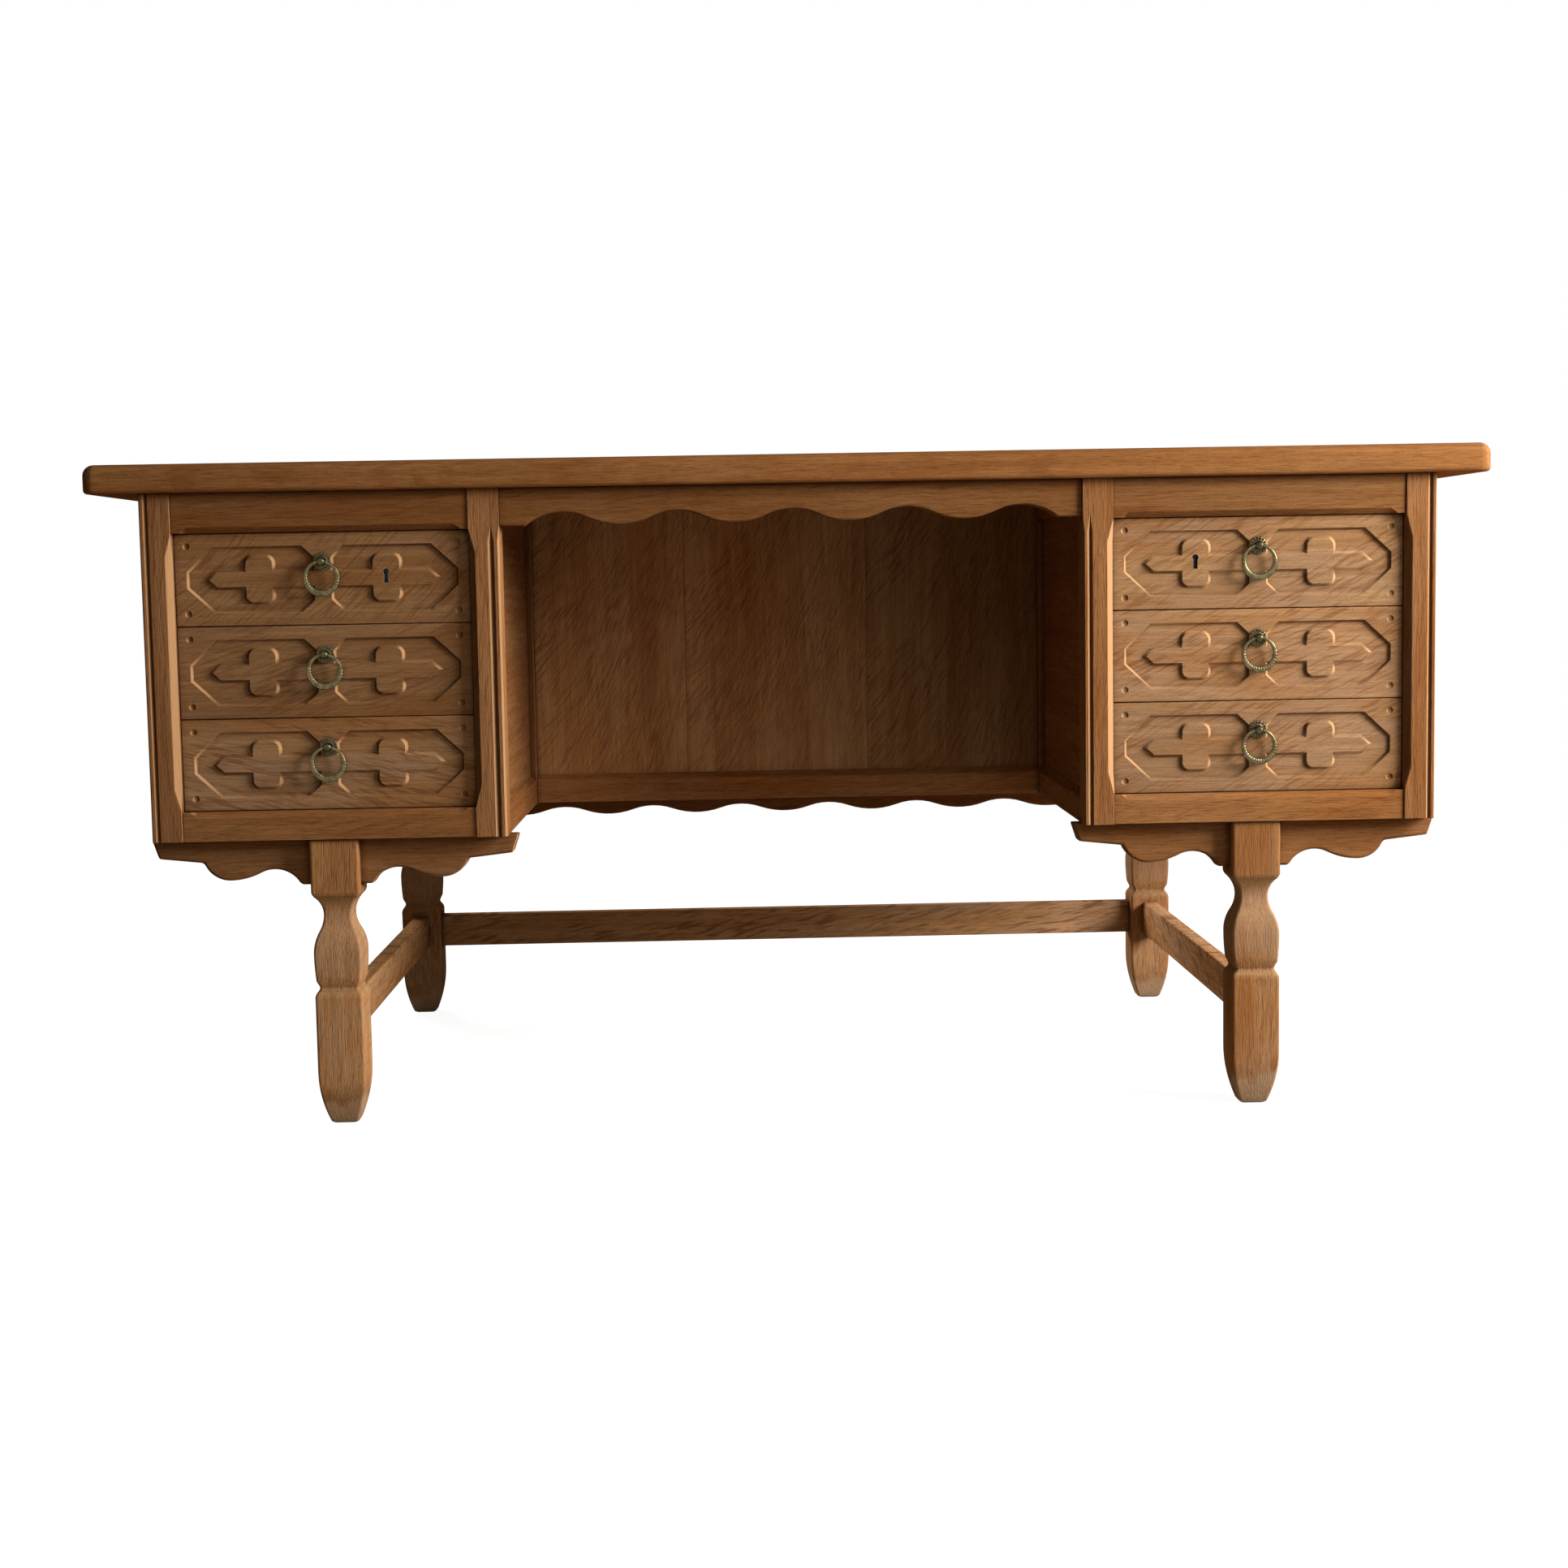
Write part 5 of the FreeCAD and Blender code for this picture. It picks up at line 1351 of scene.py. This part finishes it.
class DeskCarvingSettings(bpy.types.PropertyGroup):
    """Carving of the drawer fronts"""

    depth: length("Depth", "Depth of the recessed fields", 0.0034)
    wall_slope: FloatProperty(
        name="Wall slope", description="Lean of the carved walls", default=math.radians(37), subtype="ANGLE"
    )
    frame_wall_share: share("Frame wall width", "Width of the walls of the outer frame against the plain wall", 0.9)
    cross_wall_share: amount("Cross wall width", "Width of the walls of the crosses against the plain wall", 1.2)
    edge_growth: length("Edge growth", "How far the swollen fronts narrow the gaps round them", 0.0004)
    rim_radius: length("Rim radius", "Rounding of the carved rims", 0.0007)
    edge_radius: length("Edge radius", "Rounding of a front's edges", 0.0015)
    field_tip_share: share("Field tip", "Outer point of a field, of the half width", 0.921)
    field_tip_height_share: share("Field tip height", "Height of the outer point, of the half height", 0.179)
    field_corner_share: share("Field corner", "Outer corner of a field, of the half width", 0.74)
    field_height_share: share("Field height", "Height of a field, of the half height", 0.722)
    field_inner_corner_share: share("Field inner corner", "Inner corner, of the half width", 0.142)
    field_waist_share: share("Field waist", "Inner end of a field, of the half width", 0.058)
    field_waist_height_share: share("Field waist height", "Height of the inner end, of the half height", 0.463)
    bar_height_share: share("Bar height", "Half height of the raised bar, of the half height", 0.161)
    bar_tip_share: share("Bar tip", "Point of the bar, of the half width", 0.771)
    bar_shoulder_share: share("Bar shoulder", "Where the bar narrows, of the half width", 0.716)
    cross_offset_share: share("Cross offset", "Middle of a cross, of the half width", 0.431)
    cross_width_share: share("Cross width", "Half width of an arm, of the half width", 0.0906)
    cross_height_share: share("Cross height", "Reach of an arm, of the half height", 0.4925)
    cross_corner_radius: length("Cross corner radius", "Rounding of the cross arms", 0.0073)
    dimple_diameter: length("Dimple diameter", "Width of the corner dimples", 0.0077)
    dimple_inset: length("Dimple inset", "Distance of the dimples from the edges", 0.0134)
    keyhole_diameter: length("Keyhole diameter", "Width of the keyhole's eye", 0.0076)
    keyhole_width: length("Keyhole slot width", "Width of the keyhole's slot", 0.0054)
    keyhole_length: length("Keyhole slot length", "Length of the slot below the eye", 0.0128)
    liner_thickness: length("Liner thickness", "Wall of the keyhole liner", 0.0006)
    lock_play: length("Lock play", "Room round a lock in its seat", 0.0003)


class DeskPullSettings(bpy.types.PropertyGroup):
    """Sizes and colours of the ring pulls and locks"""

    rosette_diameter: length("Rosette diameter", "Width of a rosette", 0.020)
    knob_diameter: length("Knob diameter", "Width of the ball that holds the ring", 0.0105)
    neck_diameter: length("Neck diameter", "Width of the neck behind the ball", 0.006)
    knob_reach: length("Knob reach", "How far the ball stands ahead of the front", 0.0085)
    ring_hole_diameter: length("Ring hole diameter", "Bore of the ball", 0.006)
    ring_bore: length("Ring bore", "Inner width of the ring", 0.030)
    ring_bore_shift: length("Ring bore shift", "How far the bore sits above the ring's middle", 0.002)
    ring_ridges: IntProperty(name="Ring ridges", description="Chased ridges round a ring", default=34, min=4)
    rosette_beads: IntProperty(name="Rosette beads", description="Beads round a rosette", default=15, min=5)
    bead_radius: length("Bead radius", "Half width of a rosette's beads", 0.0015)
    knob_tarnish: share("Knob tarnish", "How dull the knobs and rosettes have gone", 0.5)
    brass_colour: colour("Brass", "Main tone of the brass", (0.17, 0.135, 0.065))
    patina_colour: colour("Patina", "Clouded tone of the brass", (0.07, 0.06, 0.032))
    tarnish_colour: colour("Tarnish", "Tone of the brass in its corners", (0.03, 0.022, 0.012))
    polished_colour: colour("Polished brass", "Tone where hands rub the brass", (0.52, 0.43, 0.25))
    steel_colour: colour("Steel", "Main tone of the locks", (0.085, 0.072, 0.056))
    rust_colour: colour("Old steel", "Clouded tone of the locks", (0.06, 0.042, 0.03))


class DeskStageSettings(bpy.types.PropertyGroup):
    """Light, floor and camera"""

    lamp_power: amount("Lamp power", "Main lamp, to the right and ahead", 98, "POWER")
    lamp_size: length("Lamp size", "Width of the main lamp", 1.1)
    fill_power: amount("Fill power", "Weak low lamp to the right and ahead", 4, "POWER")
    front_power: amount("Front power", "Weak high lamp ahead", 6, "POWER")
    back_power: amount("Back power", "Lamp behind, for the back of the desk", 65, "POWER")
    ambient: share("Ambient", "Even light from all round", 0.05)
    floor_tone: share("Floor tone", "How much of the floor answers the light", 0.3)
    camera_lens: amount("Camera lens", "Focal length in millimetres", 51.46)


# Operators


class DESK_OT_top(bpy.types.Operator):
    """Dress the desk top in planks with a rounded edge"""

    bl_idname = "desk.top"
    bl_label = "Desk Top"

    def execute(self, context):
        softened_board("desk_top", "top", "oak")
        return {"FINISHED"}


class DESK_OT_posts_and_rails(bpy.types.Operator):
    """Dress the posts and rails of both pedestals and the kneehole"""

    bl_idname = "desk.posts_and_rails"
    bl_label = "Posts and Rails"

    def execute(self, context):
        looks = context.scene.desk_wood
        soft = looks.edge_softness
        for side in SIDES:
            outer, inner = looks.outer_groove, looks.inner_groove
            if side == "right":
                inner *= RIGHT_INNER_GROOVE
            softened_board(f"{side}_outer_front_post", "post", "oak", soft, 2, slim_groove(outer, True))
            softened_board(f"{side}_inner_front_post", "post", "oak", soft, 2, slim_groove(inner, False))
            softened_board(f"{side}_rear_posts", "post", "oak", soft)
            for part in ("top_rail", "bottom_rail"):
                softened_board(f"{side}_{part}", "frame", "oak")
            softened_board(f"{side}_side_rails", "frame", "oak", soft * 0.7, 2, reach_into_bevels)
        softened_board("kneehole_apron", "frame", "oak")
        softened_board("modesty_rail", "post", "oak")
        softened_board("drawer_runners", "box", "drawer_wood")
        return {"FINISHED"}


class DESK_OT_panels(bpy.types.Operator):
    """Dress the side, back and kneehole panels, the floors and the bookcase"""

    bl_idname = "desk.panels"
    bl_label = "Panels and Shelves"

    def execute(self, context):
        for side in SIDES:
            softened_board(f"{side}_side_panels", "side", "oak_panel")
            softened_board(f"{side}_back_frame", "frame", "oak")
        softened_board("modesty_panel", "panel", "oak_panel")
        softened_board("pedestal_floors", "box", "drawer_wood")
        softened_board("bookcase_boards", "frame", "oak")
        return {"FINISHED"}


class DESK_OT_legs_and_bearers(bpy.types.Operator):
    """Dress the legs, the scalloped bearers and the stretchers"""

    bl_idname = "desk.legs_and_bearers"
    bl_label = "Legs and Bearers"

    def execute(self, context):
        looks = context.scene.desk_wood
        for side in SIDES:
            softened_board(f"{side}_front_bearer", "post", "oak", looks.edge_softness * 2.4, 3, clamped=False)
            for end in ("front", "rear"):
                softened_board(f"{side}_{end}_leg", "leg", "oak", looks.leg_softness, 4, clamped=False)
        softened_board("rear_bearer", "frame", "oak", looks.edge_softness * 1.6)
        for part in ("side_stretchers", "rear_stretcher"):
            softened_board(part, "stretcher", "oak", looks.edge_softness * 1.6)
        return {"FINISHED"}


class DESK_OT_drawer_boxes(bpy.types.Operator):
    """Dress the boxes of the six drawers"""

    bl_idname = "desk.drawer_boxes"
    bl_label = "Drawer Boxes"

    def execute(self, context):
        for side, level in DRAWERS:
            softened_board(f"{side}_{level}_drawer_box", "box", "drawer_wood")
        return {"FINISHED"}


class DESK_OT_drawer_fronts(bpy.types.Operator):
    """Carve the six drawer fronts"""

    bl_idname = "desk.drawer_fronts"
    bl_label = "Drawer Fronts"

    def execute(self, context):
        pattern = carved_front_mesh("carved_front")
        for side, level in DRAWERS:
            make_front(side, level, pattern)
        bpy.data.meshes.remove(pattern)
        return {"FINISHED"}


class DESK_OT_pulls(bpy.types.Operator):
    """Make the six ring pulls"""

    bl_idname = "desk.pulls"
    bl_label = "Ring Pulls"

    def execute(self, context):
        pattern = knob_mesh()
        for side, level in DRAWERS:
            make_knob(side, level, pattern)
            make_ring(side, level, CHASED.get((side, level), 1.0))
        bpy.data.meshes.remove(pattern)
        return {"FINISHED"}


class DESK_OT_locks(bpy.types.Operator):
    """Dress the two drawer locks and their bolts"""

    bl_idname = "desk.locks"
    bl_label = "Locks"

    def execute(self, context):
        for side in SIDES:
            for part in ("drawer_lock", "lock_bolt"):
                name = f"{side}_{part}"
                piece = new_piece(f"{name}_steel", merged_copy(name))
                soften(piece, 0.0004)
                piece.data.materials.append(steel())
                settle(piece, BODY_OF[name], "steel", name)
        return {"FINISHED"}


class DESK_OT_stage(bpy.types.Operator):
    """Set up the floor, the lamps, the surroundings and the camera"""

    bl_idname = "desk.stage"
    bl_label = "Stage"

    def execute(self, context):
        settings = context.scene.desk_stage
        make_floor(settings)
        make_surroundings(settings)
        make_lamp("main_lamp", (2.3, -1.25, 1.35), (0.1, -0.2, 0.4), settings.lamp_power, settings.lamp_size)
        make_lamp("fill_lamp", (1.3, -2.8, 0.9), (0.0, 0.0, 0.4), settings.fill_power, 1.6)
        make_lamp("front_lamp", (0.3, -2.9, 2.2), (0.0, 0.0, 0.4), settings.front_power, 1.6)
        make_lamp("back_lamp", (-1.7, 2.6, 1.5), (0.0, 0.3, 0.4), settings.back_power, 1.4)
        make_camera(settings)
        context.scene.view_settings.view_transform = "Standard"
        return {"FINISHED"}


def direct_rays(tree):
    """1 for what the camera sees, also in a mirror or through glass, and 0 for light on its way to the desk."""
    ray = put(tree, "ShaderNodeLightPath").outputs
    seen = calc(tree, "MAXIMUM", ray["Is Camera Ray"], ray["Is Glossy Ray"])
    return calc(tree, "MAXIMUM", seen, ray["Is Transmission Ray"])


def make_floor(settings):
    material = bpy.data.materials.new("pale_floor")
    tree, end = blank_tree(material, "ShaderNodeOutputMaterial")
    away = put(tree, "ShaderNodeVectorMath", {0: own_place(tree)}, operation="LENGTH").outputs["Value"]
    far = spread(tree, away, 1.0, 2.6, smooth=True)
    answer = spread(tree, far, 0.0, 1.0, settings.floor_tone, 0.0)
    lit = put(tree, "ShaderNodeBsdfDiffuse", {"Color": grey(tree, answer)})
    strength = spread(tree, far, 0.0, 1.0, 1.0 - settings.floor_tone * 0.2, 1.0)
    glow = put(tree, "ShaderNodeEmission", {"Strength": strength})
    seen = put(tree, "ShaderNodeAddShader", {0: lit.outputs[0], 1: glow.outputs[0]})
    plain = put(tree, "ShaderNodeBsdfDiffuse", {"Color": (0.3, 0.26, 0.21, 1)})
    both = put(tree, "ShaderNodeMixShader", {0: direct_rays(tree), 1: plain.outputs[0], 2: seen.outputs[0]})
    tree.links.new(both.outputs[0], end)
    reach = 14
    corners = [(-reach, -reach, 0), (reach, -reach, 0), (reach, reach, 0), (-reach, reach, 0)]
    mesh = mesh_of("floor", corners, [(0, 1, 2, 3)])
    mesh.materials.append(material)
    new_piece("floor", mesh)


def make_surroundings(settings):
    world = bpy.data.worlds.new("studio")
    bpy.context.scene.world = world
    tree, end = blank_tree(world, "ShaderNodeOutputWorld")
    direct = direct_rays(tree)
    strength = spread(tree, direct, 0.0, 1.0, settings.ambient, 1.0)
    tone = faded_to(tree, direct, (1.0, 0.86, 0.66, 1), (1, 1, 1, 1))
    sky = put(tree, "ShaderNodeBackground", {"Color": tone, "Strength": strength})
    tree.links.new(sky.outputs[0], end)


def make_lamp(name, place, target, power, size):
    light = bpy.data.lights.new(name, "AREA")
    light.shape = "SQUARE"
    light.size = size
    light.energy = power
    lamp = new_piece(name, light)
    lamp.location = place
    lamp.rotation_euler = (Vector(target) - Vector(place)).to_track_quat("-Z", "Y").to_euler()


def make_camera(settings):
    pitch, yaw, roll = (math.radians(angle) for angle in CAMERA_ANGLES)
    ahead = Vector((math.sin(yaw) * math.cos(pitch), math.cos(yaw) * math.cos(pitch), -math.sin(pitch)))
    right = Vector((math.cos(yaw), -math.sin(yaw), 0))
    up = right.cross(ahead)
    rolled_right = right * math.cos(roll) + up * math.sin(roll)
    rolled_up = -right * math.sin(roll) + up * math.cos(roll)
    lens = bpy.data.cameras.new("camera")
    lens.lens = settings.camera_lens
    lens.sensor_width = 36
    camera = new_piece("camera", lens)
    turn = Matrix((rolled_right, rolled_up, -ahead)).transposed()
    camera.matrix_world = Matrix.Translation(CAMERA_PLACE) @ turn.to_4x4()
    bpy.context.scene.camera = camera


class DESK_PT_panel(bpy.types.Panel):
    """The desk's settings and steps in the sidebar"""

    bl_idname = "DESK_PT_panel"
    bl_label = "Writing Desk"
    bl_space_type = "VIEW_3D"
    bl_region_type = "UI"
    bl_category = "Desk"

    def draw(self, context):
        scene = context.scene
        for group in (scene.desk_wood, scene.desk_carving, scene.desk_pulls, scene.desk_stage):
            box = self.layout.box()
            for name in group.__annotations__:
                box.prop(group, name)
        for step in STEPS:
            self.layout.operator(step.bl_idname)


STEPS = (
    DESK_OT_top,
    DESK_OT_posts_and_rails,
    DESK_OT_panels,
    DESK_OT_legs_and_bearers,
    DESK_OT_drawer_boxes,
    DESK_OT_drawer_fronts,
    DESK_OT_pulls,
    DESK_OT_locks,
    DESK_OT_stage,
)
SETTINGS = {
    "desk_wood": DeskWoodSettings,
    "desk_carving": DeskCarvingSettings,
    "desk_pulls": DeskPullSettings,
    "desk_stage": DeskStageSettings,
}


CLASSES = (*SETTINGS.values(), *STEPS, DESK_PT_panel)


def register():
    for cls in CLASSES:
        bpy.utils.register_class(cls)
    for name, cls in SETTINGS.items():
        setattr(bpy.types.Scene, name, PointerProperty(type=cls))


def unregister():
    for name in SETTINGS:
        delattr(bpy.types.Scene, name)
    for cls in reversed(CLASSES):
        bpy.utils.unregister_class(cls)


def main():
    register()
    bpy.ops.desk.stage()
    bpy.ops.desk.top()
    bpy.ops.desk.posts_and_rails()
    bpy.ops.desk.panels()
    bpy.ops.desk.legs_and_bearers()
    bpy.ops.desk.drawer_boxes()
    bpy.ops.desk.drawer_fronts()
    bpy.ops.desk.pulls()
    bpy.ops.desk.locks()


if __name__ == "__main__":
    main()
